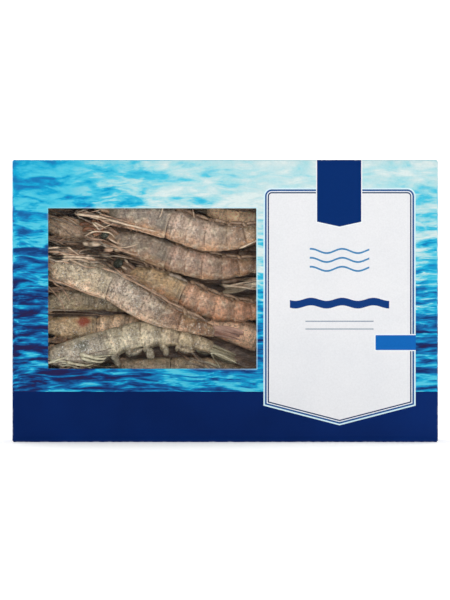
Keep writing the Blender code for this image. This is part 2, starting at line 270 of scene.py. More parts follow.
def sea(add, wide, high, broad):
    """A rippled blue sea that grows lighter towards a glow at the top, right of the middle."""
    warp = add("TexNoise", broad, 1 / 60)
    warped = add("Math MULTIPLY_ADD", warp, 9, high)
    # The swell is drawn out flat at the foot of the picture and rounder towards its top
    flatter = add("Math EXPONENT", add("Math MULTIPLY", warped, -1 / 70))
    stretched = add("Math MULTIPLY_ADD", flatter, -520, add("Math MULTIPLY", warped, 3))
    waves = add("TexNoise", add("CombineXYZ", wide, 12, stretched), 1 / 23, 4, 0.54, None, 0.5)
    swell = add("TexNoise", add("CombineXYZ", wide, 90, stretched), 1 / 62, 2, 0.5, None, 0.5)
    glint = add("TexNoise", add("CombineXYZ", wide, 300, stretched), 1 / 9, 3, 0.6)
    base = add("MapRange SMOOTHSTEP", high, 62, 172, 0.2, 0.52)
    for value, far, near, most in ((wide, -130, 30, 0.24), (wide, 50, 140, -0.06), (high, 58, 44, 0.09)):
        base = add("Math ADD", base, add("MapRange", value, far, near, 0, most))
    glow = add("VectorMath MULTIPLY", broad, (0.75, 0, 1.3))
    glow = add("VectorMath DISTANCE", glow, (32, 0, 255))
    base = add("Math ADD", base, add("MapRange SMOOTHSTEP", glow, 160, 45, 0, 0.16))
    calm = add("MapRange", base, 0.3, 0.95, 1.7, 0.95)
    calm = add("Math MULTIPLY", calm, add("MapRange", high, 160, 182, 1, 0.55))
    light = base
    for value, amount in ((waves, 1.25), (swell, 0.2), (glint, 0.35)):
        value = add("Math MULTIPLY", add("Math SUBTRACT", value, 0.5), calm)
        light = add("Math MULTIPLY_ADD", value, amount, light)
    # Thin crests of light run along the swell, and fade towards the top
    crest = add("VectorMath MULTIPLY", add("CombineXYZ", wide, 200, stretched), (0.55, 1, 1))
    crest = add("TexNoise", crest, 1 / 15, 2, 0.4, None, 0.5)
    crest = add("Math ABSOLUTE", add("Math SUBTRACT", crest, 0.52))
    crest = add("MapRange", crest, 0.035, 0.005, 0, 0.2)
    crest = add("Math MULTIPLY", crest, add("MapRange", high, 140, 178, 1, 0.25))
    crest = add("Math MULTIPLY", crest, add("MapRange", waves, 0.42, 0.6, 0.2, 1))
    light = add("Math ADD", light, crest)
    # The upper left stays turquoise, and only the side towards the glow gets its whites
    most = add("MapRange", wide, -110, -20, 0, 0.5)
    most = add("Math MULTIPLY", most, add("MapRange", high, 55, 120, 0, 1))
    light = add("Math SMOOTH_MIN", light, add("Math ADD", most, 0.69), 0.1)
    least = add("MapRange", high, 95, 172, -0.1, 0.4)
    light = add("Math SMOOTH_MAX", light, least, 0.08)
    return add("ValToRGB", light, stops=(
        (0, "#26224e"), (0.13, "#13306a"), (0.30, "#175a98"), (0.43, "#187fbb"), (0.55, "#12a7d3"),
        (0.68, "#4cc6e0"), (0.80, "#a3dbe2"), (0.92, "#c9e3e5"), (1, "#dcebea"),
    ))


def front_print(add, colour, x, z, flat, broad):
    """Over the sea: a line round the window, and the label with its lines, plain waves and two tabs."""
    line = add("Math LESS_THAN", outside(add, flat, WINDOW, 0.2), 0.9)
    bright = add("MapRange", add("Math ADD", x, z), 10, 170, 0, 0.85)
    picture = add("Mix RGBA", add("Math MULTIPLY", line, bright), colour, "#c8eaf2")

    aside = add("Math ABSOLUTE", add("Math SUBTRACT", x, LABEL_MIDDLE))
    floor = add("Math MULTIPLY_ADD", aside, LABEL_SLOPE, LABEL_TIP)
    off = add("Math MAXIMUM", add("Math SUBTRACT", floor, z), outside(add, flat, LABEL, 2))
    paper = add("TexNoise", broad, 1 / 40, 3)
    paper = add("ValToRGB", paper, stops=((0.3, "#e9eaed"), (0.7, "#efeff1")))
    # Thin waves, a broad one and two fine rules, one group below the other on the label's paper
    sway = add("Math SINE", add("Math MULTIPLY", x, 2 * pi / 22))
    for low, top, pitch, thick, reach, swing, code in (
        (119, 138, 6.3, 0.65, 21, 1.5, "#3f86b8"), (90, 106, 16, 2.7, 35, 1.1, "#0f3a7c"),
        (77, 88, 5.5, 0.3, 24, 0, "#6c7f95"),
    ):
        swayed = add("Math MULTIPLY_ADD", sway, swing, z)
        step = add("Math PINGPONG", add("Math SUBTRACT", swayed, low), pitch / 2)
        step = add("Math GREATER_THAN", step, pitch / 2 - thick)
        for within in (
            add("Math GREATER_THAN", swayed, low), add("Math LESS_THAN", swayed, top),
            add("Math LESS_THAN", aside, reach),
        ):
            step = add("Math MULTIPLY", step, within)
        paper = add("Mix RGBA", step, paper, code)
    lines = add("ValToRGB", add("Math MULTIPLY", off, 0.1), blend="CONSTANT", stops=(
        (0, "#12305f"), (0.09, "#f1f6f8"), (0.16, "#1c5290"), (0.28, "#d5eff6"),
    ))
    label = add("Mix RGBA", add("Math LESS_THAN", off, 0.02), lines, paper)
    picture = add("Mix RGBA", add("Math LESS_THAN", off, 3.9), picture, label)

    point = add("Math SUBTRACT", add("Math MULTIPLY_ADD", aside, TOP_TAB_SLOPE, TOP_TAB_POINT), z)
    for off, code in (
        (add("Math MAXIMUM", outside(add, flat, TOP_TAB, 0.5), point), "#012c6c"),
        (outside(add, flat, SIDE_TAB, 0.5), "#1066b8"),
    ):
        tab = add("ValToRGB", add("Math MULTIPLY", off, 0.1), blend="CONSTANT",
                  stops=((0, code), (0.004, "#f4f8fa")))
        shown = add("Math MULTIPLY", add("Math LESS_THAN", off, 0.8), add("Math LESS_THAN", x, TABS_END))
        picture = add("Mix RGBA", shown, picture, tab)
    return picture


def back_print(add, colour, y, z, flat):
    """Over the sea on the back: a pale panel with a line round it and three ruled fields."""
    off = outside(add, flat, BACK_PANEL, 3)
    panel = add("ValToRGB", add("Math MULTIPLY", off, 0.1), blend="CONSTANT",
                stops=((0, "#ced3d9"), (0.006, "#12305f")))
    ruled = add("Math PINGPONG", add("Math SUBTRACT", z, BACK_PANEL[1]), FIELD_HEIGHT / 2)
    ruled = add("Math MULTIPLY", add("Math LESS_THAN", ruled, 0.35), add("Math LESS_THAN", off, -1))
    panel = add("Mix RGBA", ruled, panel, "#8296b4")
    rear = add("Math GREATER_THAN", y, PANEL_DEPTH)
    return add("Mix RGBA", add("Math MULTIPLY", add("Math LESS_THAN", off, 1), rear), colour, panel)


def printed_board():
    """Varnished print on folding boxboard: a rippled blue sea with a label, satin, with a fine fibre under
    the varnish and paler rubbed creases."""
    add, dress = new_finish("printed boxboard")
    place = add("VectorMath SCALE", add("TexCoord", out="Object"), 1 / MM)
    x, y, z = add("SeparateXYZ", place).node.outputs
    facing = add("VectorMath ABSOLUTE", add("NewGeometry", out="Normal"))
    end, _, level = add("SeparateXYZ", facing).node.outputs
    # The print runs on over the creases: depth counts as height on top and as length on the ends
    high = add("Math MULTIPLY_ADD", y, level, z)
    wide = add("Math MULTIPLY_ADD", y, end, x)
    broad = add("CombineXYZ", wide, 0, high)
    colour = sea(add, wide, high, broad)
    deep = add("TexNoise", broad, 1 / 90, 3)
    deep = add("ValToRGB", deep, stops=((0.3, "#021d52"), (0.7, "#052868")))
    colour = add("Mix RGBA", add("Math LESS_THAN", z, BAND_TOP), colour, deep)
    flat = add("CombineXYZ", x, 0, z)
    picture = front_print(add, colour, x, z, flat, broad)
    colour = add("Mix RGBA", add("Math LESS_THAN", y, -PANEL_DEPTH), colour, picture)
    colour = back_print(add, colour, y, z, flat)

    # Rubbed creases, fibre and varnish
    inner = [half - 0.8 for half in (HALF_WIDTH, HALF_DEPTH, HEIGHT / 2)]
    along, across, upward = add("SeparateXYZ", beyond(add, place, (0, 0, HEIGHT / 2), inner)).node.outputs
    worn = 0
    for one, other in ((along, across), (across, upward), (along, upward)):
        worn = add("Math ADD", add("Math MULTIPLY", one, other), worn)
    scuff = add("MapRange", add("TexNoise", place, 1 / 3, 4, 0.7), 0.46, 0.72, 0, 1)
    worn = add("Math MULTIPLY", add("MapRange", worn, 0.02, 0.14, 0, 0.45), scuff)
    colour = add("Mix RGBA", worn, colour, "#d5dde2")
    mottle = add("MapRange", add("TexNoise", place, 1 / 1.3, 3, 0.6), 0.3, 0.7, 0.965, 1.03)
    colour = add("VectorMath SCALE", colour, mottle)
    fibre = add("TexNoise", place, 1 / 0.5, 4, 0.65)
    gloss = add("MapRange", fibre, 0.3, 0.7, 0.34, 0.46)
    height = add("Math MULTIPLY_ADD", add("TexNoise", place, 1 / 45, 2), 9, fibre)
    bump = add("Bump", 0.12, 0.02 * MM, None, height)
    return dress(Base_Color=colour, Roughness=gloss, Normal=bump, Specular_IOR_Level=0.03)


def plain_board(name, light, dark, roughness):
    """Bare board: flecked fibres, dull."""
    add, dress = new_finish(name)
    place = add("VectorMath MULTIPLY", add("TexCoord", out="Object"), (1 / MM, 1 / MM, 2.6 / MM))
    fibre = add("TexNoise", place, 1 / 1.8, 6, 0.7)
    colour = add("ValToRGB", fibre, stops=((0.3, dark), (0.6, light)))
    bump = add("Bump", 0.3, 0.03 * MM, None, fibre)
    return dress(Base_Color=colour, Roughness=roughness, Normal=bump)


def clear_film():
    """Clear polypropylene sheet: glossy, nearly unseen, with a faint haze."""
    add, dress = new_finish("clear film")
    haze = add("TexNoise", add("TexCoord", out="Object"), 0.06 / MM, 3)
    haze = add("ValToRGB", haze, stops=((0.3, "#8f989b"), (0.7, "#b4bbbd")))
    return dress(Base_Color=haze, Roughness=0.08, Alpha=0.01, Specular_IOR_Level=0.15)


# ---- finishes of the shrimp


def shell(name, shrimp):
    """Raw shrimp shell, moist: blotched in the shrimp's own colours, with fine dark dots and pale grit, dark
    joint lines, pale plate rims and flecks of frost; painted shade on the belly side and at the ends of each
    plate, and a painted highlight along the back."""
    add, dress = new_finish(name)
    grain = add("Attribute grain", out="Vector")
    line, rim, share = add("SeparateXYZ", add("Attribute marks", out="Vector")).node.outputs
    along, _, up = add("SeparateXYZ", grain).node.outputs
    blotch = add("TexNoise", grain, 1 / 8, 4, 0.62)
    unsure = add("Math SUBTRACT", blotch, 0.5)
    head, middle, tail, back = shrimp.colours.split()
    pepper, frost, edges = shrimp.pepper, shrimp.frost, shrimp.edges
    place = add("Math MULTIPLY", add("Math MULTIPLY_ADD", unsure, 9, along), 1 / BODY)
    colour = add("ValToRGB", place, stops=((0.33, head), (0.38, middle), (0.52, middle), (0.80, tail)))
    height = add("Math MULTIPLY_ADD", unsure, 16, up)
    # The belly side, whose colour is scaled by the shrimp's belly value below: painted shade on the belly
    # side
    belly_shade = add("MapRange", height, -9, -2, 0, 1)
    colour = add("Mix RGBA", add("MapRange", height, 2.5, 9.5, 0, 0.7), colour, back)
    # A pale line along the ridge of the back is a painted highlight, where light catches the edge
    colour = add("Mix RGBA", add("MapRange", up, 9, 10.6, 0, 0.55), colour, "#dcb48f")
    # Larger patches of rust, olive and sand, by their width in millimetres
    for width, code, most in ((5.5, "#a5653f", 0.28), (6.5, "#746b42", shrimp.olive), (4.2, "#ddd2ba", 0.5)):
        tint = add("VectorMath ADD", grain, (900 / width, 5, 40))
        tint = add("MapRange", add("TexNoise", tint, 1 / width, 4, 0.68), 0.5, 0.72, 0, most)
        colour = add("Mix RGBA", tint, colour, code)

    # Muscle shows through the plates as bands that run round the body, over blotches and grit; the ends of
    # each plate are painted darker, as painted shade where the plates meet, and the belly side is scaled by
    # the shrimp's belly value, as painted shade
    round_body = add("VectorMath MULTIPLY", grain, (1, 0.2, 0.2))
    fine = add("TexNoise", round_body, 1 / 2.6, 3, 0.6)
    grit = add("TexNoise", grain, 1 / 1.9, 4, 0.8)
    plate_end_shade = add("Math ABSOLUTE", add("Math SUBTRACT", share, 0.5))
    plate_end_shade = add("Math MULTIPLY_ADD", unsure, -1.1, plate_end_shade)
    for value, low, high, dark, light in (
        (fine, 0.32, 0.68, 0.86, 1.14), (blotch, 0.3, 0.7, 0.66, 1.34),
        (grit, 0.46, 0.68, 1, 1.55 + 0.3 * pepper),
        (plate_end_shade, 0.2, 0.55, 1.05, 1 - 0.7 * edges), (belly_shade, 0, 1, shrimp.belly, 1.03),
    ):
        colour = add("VectorMath SCALE", colour, add("MapRange", value, low, high, dark, light))
    pits = add("MapRange", grit, 0.5, 0.33, 0, 0.55 + 0.25 * pepper)
    colour = add("Mix RGBA", pits, colour, "#54392a")

    shaken = add("VectorMath ADD", grain, grit)
    dots = add("MapRange", add("TexVoronoi", shaken, 1 / 1.5), 0.33, 0.20, 0, 1)
    crowd = add("TexNoise", grain, 1 / 5, 3, 0.6)
    crowd = add("MapRange", crowd, 0.40, 0.62, 0.1 * pepper, 0.35 + 0.55 * pepper)
    dots = add("Math MULTIPLY", dots, crowd)
    colour = add("Mix RGBA", dots, colour, "#3f2a1b")
    if shrimp.blush:
        at, reach, code = shrimp.blush
        near = add("VectorMath MULTIPLY", grain, (1, 0, 1))
        near = add("Math MULTIPLY_ADD", unsure, 7, add("VectorMath DISTANCE", near, at))
        near = add("MapRange", near, reach + 2, reach - 1.5, 0, 0.85)
        colour = add("Mix RGBA", near, colour, code)
    colour = add("Mix RGBA", add("Math MULTIPLY", rim, 0.35), colour, "#cdb99b")
    broken = add("MapRange", blotch, 0.42, 0.58, 1, 0.35)
    dark = add("Math MULTIPLY", add("MapRange", line, 0.3, 0.8, 0, 1), broken)
    colour = add("Mix RGBA", dark, colour, "#2e140c")
    flecks = add("TexVoronoi", add("VectorMath ADD", shaken, (3, 1, 2)), 1 / 1.4)
    flecks = add("MapRange", flecks, 0.30, 0.16, 0, 0.75)
    patch = add("TexNoise", grain, 1 / 9, 3, 0.6)
    patch = add("MapRange", patch, 0.60 - 0.3 * frost, 0.74 - 0.3 * frost, 0, 0.75)
    flecks = add("Math MULTIPLY", flecks, patch)
    colour = add("Mix RGBA", flecks, colour, "#efece2")

    gloss = add("MapRange", grit, 0.3, 0.7, 0.32, 0.6)
    relief = grit
    for value, rise in ((fine, 0.8), (flecks, 1), (dots, -0.5)):
        relief = add("Math MULTIPLY_ADD", value, rise, relief)
    bump = add("Bump", 0.9, 0.3 * MM, None, relief)
    return dress(
        Base_Color=colour, Roughness=gloss, Normal=bump, Specular_IOR_Level=0.4, Subsurface_Weight=0.06,
        Subsurface_Radius=(1.6 * MM, 0.8 * MM, 0.5 * MM), Subsurface_Scale=1,
    )


def chitin(name, light, dark, ribs=0):
    """Thin horn of legs, feelers and tail blades: mottled, moist, lit through a little, ribbed if asked."""
    add, dress = new_finish(name)
    place = add("Attribute grain", out="Vector")
    tint = add("TexNoise", place, 1 / 3.5, 5, 0.7)
    if ribs:
        lengthwise = add("VectorMath MULTIPLY", place, (0.07, 1, 1))
        tint = add("Mix", ribs, tint, add("TexNoise", lengthwise, 1 / 1.1, 2, 0.5))
    colour = add("ValToRGB", tint, stops=((0.32, dark), (0.62, light)))
    bump = add("Bump", 0.3, 0.08 * MM, None, tint)
    return dress(Base_Color=colour, Roughness=0.38, Normal=bump, Subsurface_Weight=0.1,
                 Subsurface_Radius=(1.5 * MM, 0.8 * MM, 0.5 * MM), Subsurface_Scale=1)


def wet_eye():
    """Shrimp eye: nearly black, wet, with a fine faceted bloom."""
    add, dress = new_finish("wet eye")
    facets = add("TexVoronoi", add("TexCoord", out="Object"), 2.6 / MM)
    colour = add("ValToRGB", facets, stops=((0.1, "#1b1d18"), (0.7, "#484b3d")))
    bump = add("Bump", 0.3, 0.05 * MM, None, facets)
    return dress(Base_Color=colour, Roughness=0.3, Normal=bump, Specular_IOR_Level=0.35)


def frost_ice():
    """Frost: white, finely mottled, with light that spreads inside it."""
    add, dress = new_finish("frost")
    crystal = add("TexNoise", add("TexCoord", out="Object"), 1.4 / MM, 3)
    colour = add("ValToRGB", crystal, stops=((0.3, "#c9c8c2"), (0.7, "#f6f5f0")))
    return dress(Base_Color=colour, Roughness=0.3, Subsurface_Weight=0.3, Subsurface_Radius=(MM, MM, MM),
                 Subsurface_Scale=1)


def bed_ice():
    """Deep frozen layer: dark brown with lighter, tan streaks, wet."""
    add, dress = new_finish("frozen bed")
    place = add("VectorMath SCALE", add("TexCoord", out="Object"), 1 / MM)
    streak = add("VectorMath MULTIPLY", place, (0.3, 0.5, 1))
    tint = add("TexNoise", streak, 1 / 4, 6, 0.68, None, 0.6)
    colour = add("ValToRGB", tint, stops=((0.3, "#2e1e13"), (0.5, "#6b4d37"), (0.68, "#a5886c")))
    bump = add("Bump", 0.6, 0.5 * MM, None, tint)
    return dress(Base_Color=colour, Roughness=0.4, Normal=bump)


# ---- carton and film

BOARD, FILM = 0.6, 0.12
# Radius of a crease, and the angle in degrees from which an edge shows as sharp
CREASE, CREASE_ANGLE = 0.9, 35
# What is cut off the outer flaps' corners, how far they stop short of the back, and a face's length
FLAP_CORNER, FLAP_GAP, CELL = 5, 1.2, 5
# Where each panel ends along the carton: at the crease of its outer, inner or dust flap, or at a free edge
OUTER_HINGE, INNER_HINGE, DUST_HINGE, FREE_END = 149.1, 148.75, 148.05, 149.3
DUST_REACH = 18
# The inner and the dust flaps turn round a tighter crease, reach this far in from it, and lose this share of
# their width on the way
TIGHT_CREASE, INNER_LENGTH, DUST_LENGTH = 0.6, 30, 21
INNER_TAPER, DUST_TAPER = 0.05, 0.15
# How many faces go round a crease, and then out along the outer, the inner and the dust flap
CREASE_STEPS, OUTER_STEPS, INNER_STEPS, DUST_STEPS = 4, 9, 6, 4
WINDOW_LEFT, WINDOW_FOOT, WINDOW_RIGHT, WINDOW_HEAD = WINDOW


def arc(centre, start):
    """Points on a crease's quarter turn about its centre, without its two ends."""
    turns = [radians(start - 90 * step / CREASE_STEPS) for step in range(1, CREASE_STEPS)]
    return [(centre[0] + CREASE * cos(turn), centre[1] + CREASE * sin(turn)) for turn in turns]


def between(low, high, pitch, *fixed):
    """Places from low to high about a pitch apart, with the fixed ones among them."""
    stops = sorted({low, high, *fixed})
    places = [low]
    for start, end in zip(stops, stops[1:]):
        places += list(np.linspace(start, end, max(1, round((end - start) / pitch)) + 1)[1:])
    return np.array(places)


def sheet_faces(rows, columns, flip=False, skip=lambda row, column: False):
    """Quads of a grid, all wound one way or all the other, without those that skip picks out."""
    faces = []
    for row in range(rows - 1):
        for column in range(columns - 1):
            if not skip(row, column):
                corner = row * columns + column
                face = (corner, corner + 1, corner + columns + 1, corner + columns)
                faces.append(face[::-1] if flip else face)
    return faces


def grid_edge(rows, columns):
    """The corners round a grid, in their order."""
    count = rows * columns
    return [*range(columns), *range(2 * columns - 1, count, columns),
            *range(count - 2, count - columns - 1, -1), *range(count - 2 * columns, 0, -columns)]


def rim_faces(near, far):
    """Quads that join two rings of corners."""
    return list(zip(near, far, far[1:] + far[:1], near[1:] + near[:1]))


def bow(points):
    """Panels of real board lie a little hollow and uneven: up to 0.22 mm in, and flat at their creases."""
    x, y, z = points.T
    fade = np.clip((HALF_WIDTH - np.abs(x)) / 40, 0, 1) * np.clip(np.minimum(z, HEIGHT - z) / 40, 0, 1)
    dent = 0.12 + 0.1 * ripple(points, 60, 3)
    points[:, 1] -= np.where(np.abs(y) > HALF_DEPTH - 0.01, np.sign(y) * fade * dent, 0)
    return points


def panel_end(y, z):
    """How far a panel runs along the carton: to its flap's crease, or to its own cut edge at a corner."""
    if CREASE <= z <= HEIGHT - CREASE:
        return OUTER_HINGE if y < 0 else INNER_HINGE
    return DUST_HINGE if abs(y) <= DUST_REACH and z in (0, HEIGHT) else FREE_END


# The carton's finishes
PRINTED, BARE, CUT = range(3)
# How fine the carton's faces lie on its map, in pixels a millimetre: the front, the other printed outside
# faces, and the bare board; and the cell that each face of the cut edges has, in pixels
FRONT_DETAIL, PRINT_DETAIL, BARE_DETAIL = 2.8, 1.8, 0.6
EDGE_CELL = (5, 3)
MAP_SIZE, MAP_GAP = 1024, 4
# Where one flap's layer ends along the carton and the next starts; the last one is the outside of the ends
FLAP_LAYERS = (148.3, 149, 149.5)


def map_carton(mesh):
    """Lays the carton's faces out flat on a map, the printed front largest, so that its fine lines keep sharp
    where the finish is turned into a picture."""
    corners = np.array([vertex.co for vertex in mesh.vertices]) / MM
    charts = {}
    for face in mesh.polygons:
        axis = max(range(3), key=lambda n: abs(face.normal[n]))
        outward = face.normal[axis] > 0
        x = face.center.x / MM
        flap = int(np.searchsorted(FLAP_LAYERS, abs(x))) if axis == 0 else 0
        key = (face.material_index, axis, outward, axis == 0 and x > 0, flap)
        if face.material_index == CUT:
            key = face.index
            flat = np.array(((0, 0), (1, 0), (1, 1), (0, 1)), float)[:len(face.vertices)] * EDGE_CELL
        else:
            detail = BARE_DETAIL
            if face.material_index == PRINTED and (axis > 0 or flap == len(FLAP_LAYERS)):
                detail = FRONT_DETAIL if axis == 1 and not outward else PRINT_DETAIL
            flat = corners[list(face.vertices)][:, [n for n in (0, 1, 2) if n != axis]] * detail
        charts.setdefault(key, []).append((face, flat))
    boxes = []
    for parts in charts.values():
        every = np.vstack([flat for _, flat in parts])
        boxes.append((parts, every.min(0), every.max(0) - every.min(0)))
    boxes.sort(key=lambda box: -box[2][1])
    shrink = 1
    while True:
        left, low, tall, spots = MAP_GAP, MAP_GAP, 0, []
        for _, _, size in boxes:
            wide, high = size * shrink
            if left + wide + MAP_GAP > MAP_SIZE:
                left, low, tall = MAP_GAP, low + tall + MAP_GAP, 0
            spots.append((left, low))
            left, tall = left + wide + MAP_GAP, max(tall, high)
        if low + tall + MAP_GAP <= MAP_SIZE:
            break
        shrink *= 0.985
    layer = mesh.uv_layers.new(name="OFBake")
    for (parts, start, _), spot in zip(boxes, spots):
        for face, flat in parts:
            for loop, place in zip(face.loop_indices, ((flat - start) * shrink + spot) / MAP_SIZE):
                layer.data[loop].uv = place


def round_crease(hinge, radius, step):
    """Round a flap's crease: how far along the carton, and how far in from the flap's panel."""
    turn = step / CREASE_STEPS * pi / 2
    return hinge + radius * sin(turn), radius * (1 - cos(turn))


def outer_flap(z, step):
    """Over the end from the front: round its crease, then back to its free edge, with its corners cut."""
    if step <= CREASE_STEPS:
        along, inward = round_crease(OUTER_HINGE, CREASE, step)
        return along, -HALF_DEPTH + inward, z
    cut = max(0, CREASE + FLAP_CORNER - z, z - (HEIGHT - CREASE - FLAP_CORNER))
    start, share = -HALF_DEPTH + CREASE, (step - CREASE_STEPS) / OUTER_STEPS
    dent = 0.10 * (1 + sin(3 * pi * z / HEIGHT)) * share * (1 - share) * 4
    return HALF_WIDTH - dent, start + (HALF_DEPTH - FLAP_GAP - cut - start) * share, z


def inner_flap(z, step):
    """Under it from the back, a little narrower at its free edge."""
    if step <= CREASE_STEPS:
        along, inward = round_crease(INNER_HINGE, TIGHT_CREASE, step)
        return along, HALF_DEPTH - inward, z
    share = (step - CREASE_STEPS) / INNER_STEPS
    z = HEIGHT / 2 + (z - HEIGHT / 2) * (1 - INNER_TAPER * share)
    return INNER_HINGE + 0.55, HALF_DEPTH - TIGHT_CREASE - INNER_LENGTH * share, z


def dust_flap(panel, inwards, y, step):
    """Down from the top panel or up from the underside, with inwards as its sign."""
    if step <= CREASE_STEPS:
        along, inward = round_crease(DUST_HINGE, TIGHT_CREASE, step)
        return along, y, panel + inwards * inward
    share = (step - CREASE_STEPS) / DUST_STEPS
    inward = TIGHT_CREASE + DUST_LENGTH * share
    return DUST_HINGE + TIGHT_CREASE, y * (1 - DUST_TAPER * share), panel + inwards * inward


def build_carton(finishes):
    """The folded blank as one sheet: four panels, a glued flap over each end and the flaps under it."""
    low, top, far = CREASE, HEIGHT - CREASE, HALF_DEPTH - CREASE
    rows_z = between(low, top, CELL, low + FLAP_CORNER, WINDOW_FOOT, WINDOW_HEAD, top - FLAP_CORNER)
    rows_y = between(-far, far, CELL, -DUST_REACH - 1, -DUST_REACH, DUST_REACH, DUST_REACH + 1)
    profile = [(-HALF_DEPTH, z) for z in rows_z] + arc((-far, top), 180)
    profile += [(y, HEIGHT) for y in rows_y] + arc((far, top), 90)
    profile += [(HALF_DEPTH, z) for z in rows_z[::-1]] + arc((far, low), 0)
    profile += [(y, 0) for y in rows_y[::-1]] + arc((-far, low), -90) + profile[:1]
    columns = between(-OUTER_HINGE, OUTER_HINGE, CELL, WINDOW_LEFT, WINDOW_RIGHT)
    sleeve = np.array([[(x, y, z) for x in columns] for y, z in profile])
    ends = np.array([panel_end(y, z) for y, z in profile])
    sleeve[:, 0, 0], sleeve[:, -1, 0] = -ends, ends

    def in_window(row, column):
        across = WINDOW_LEFT <= columns[column] < WINDOW_RIGHT
        return across and row + 1 < len(rows_z) and WINDOW_FOOT <= rows_z[row] < WINDOW_HEAD

    draft = Draft()
    draft.add(bow(sleeve.reshape(-1, 3)), sheet_faces(len(profile), len(columns), skip=in_window))
    hinged = rows_y[np.abs(rows_y) <= DUST_REACH]
    for mirror in (-1, 1):
        for rows, flap, length in (
            (rows_z, outer_flap, OUTER_STEPS), (rows_z[::-1], inner_flap, INNER_STEPS),
            (hinged, partial(dust_flap, HEIGHT, -1), DUST_STEPS),
            (hinged[::-1], partial(dust_flap, 0, 1), DUST_STEPS),
        ):
            steps = CREASE_STEPS + 1 + length
            grid = np.array([flap(row, step) for row in rows for step in range(steps)])
            draft.add(grid * (mirror, 1, 1), sheet_faces(len(rows), steps, flip=mirror < 0))

    mesh = draft.mesh("printed_carton", finishes)
    bm = bmesh.new()
    bm.from_mesh(mesh)
    bmesh.ops.remove_doubles(bm, verts=bm.verts, dist=0.02 * MM)
    bm.to_mesh(mesh)
    bm.free()
    carton = put_in_scene("printed_carton", mesh)
    board = carton.modifiers.new("Board", "SOLIDIFY")
    board.thickness = BOARD * MM
    board.offset = -1
    board.material_offset = BARE
    board.material_offset_rim = CUT
    mesh = bpy.data.meshes.new_from_object(carton.evaluated_get(bpy.context.evaluated_depsgraph_get()))
    carton.modifiers.clear()
    carton.data = mesh
    map_carton(mesh)
    mesh.shade_smooth()
    mesh.set_sharp_from_angle(angle=radians(CREASE_ANGLE))
    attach(carton, "root")
    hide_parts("carton")


def build_film(finish):
    """The clear sheet behind the window: thin, a little wavy."""
    low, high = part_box("window_film")
    x = np.linspace(low.x, high.x, 60) / MM
    z = np.linspace(low.z, high.z, 48) / MM
    middle = (low.y + high.y) / 2 / MM
    flat = np.array([(across, middle, up) for up in z for across in x])
    flat[:, 1] += 0.07 * ripple(flat, 34, 8)
    count = len(flat)
    faces = sheet_faces(len(z), len(x))
    backs = [tuple(count + corner for corner in face[::-1]) for face in faces]
    edge = grid_edge(len(z), len(x))
    draft = Draft()
    draft.add(np.vstack([flat + (0, -FILM / 2, 0), flat + (0, FILM / 2, 0)]),
              faces + backs + rim_faces(edge, [count + corner for corner in edge]))
    film = draft.build("clear_sheet", [finish], sharp=CREASE_ANGLE)
    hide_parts("window_film")


# ---- shrimp

# The finishes of a shrimp
SHELL, LIMB, EYE, BLADE = range(4)
CARAPACE = 40
PLATES = (10, 12, 14, 12, 10.5, 17)
ABDOMEN = sum(PLATES)
BODY = CARAPACE + ABDOMEN
# Along the body from the eye socket: reach towards the back, the belly and each side
GIRTH = np.array([
    (0, 6.6, 3, 4), (6, 8.2, 6, 6), (16, 9.6, 9.6, 7.4), (30, 10.4, 11.6, 8), (40, 10.4, 10.9, 7.9),
    (52, 10.8, 9.8, 7.5), (64, 11, 9.8, 7.2), (76, 9.9, 8.9, 6.5), (88, 8, 7.2, 5.4), (99, 6.4, 5.8, 4.5),
    (115.5, 4.8, 4, 3.4),
])
# How far ahead of the eye socket the feelers start, and how far the long ones reach
FEELER_ROOT, FEELER_TIP = 9, 27
AROUND = 60
RING_PITCH = 0.95
SQUARENESS = 2 / 2.3
# Over the hind edge of a plate: (along from the edge, depth below the shell, joint line, pale rim)
PLATE_EDGE = (
    (-2.4, 0, 0, 0), (-1.4, -0.05, 0, 0.3), (-0.6, -0.08, 0, 0.9), (-0.15, -0.02, 0, 1),
    (0, 0.14, 0.2, 0.5), (-0.02, 0.35, 0.9, 0), (-0.3, 0.62, 1, 0), (0.08, 0.6, 1, 0), (0.6, 0.46, 0.7, 0),
    (1.3, 0.26, 0.2, 0), (2.2, 0.1, 0, 0), (3.2, 0, 0, 0),
)
# How far each edge stands out: the carapace over the first plate, then plate over plate
EDGE_STRENGTH = (1, 0.8, 0.9, 1, 0.8, 1)


@dataclass
class Shrimp:
    """A shrimp's place, as in the frame, and its looks.

    Joint (x, y, z) in millimetres; heading, bend, neck and roll in degrees; head_out and tail_in in
    millimetres; the colours of its head, middle, tail and back; a blush as (place on the straight shrimp,
    reach, colour); the eye's shift forwards and up, and its size.
    """

    name: str
    joint: tuple
    heading: float
    bend: float
    back_up: bool
    colours: str
    size: float = 1
    girth: float = 1
    neck: float = 0
    roll: float = 0
    head_out: float = 0
    tail_in: float = 0
    legs_spread: bool = False
    feelers: float = FEELER_TIP
    # How far the plate edges stand out, and how much darker the ends of each plate are painted, as painted
    # shade
    edges: float = 0.6
    joint_line: float = 1
    frost: float = 0.25
    pepper: float = 0.4
    olive: float = 0.34
    # How the colour of the belly side is scaled: below 1 it is painted shade
    belly: float = 0.6
    blush: tuple = None
    eye: tuple = (0, 0, 1)

    @property
    def turn(self):
        return 1 if self.back_up == (cos(radians(self.heading)) > 0) else -1


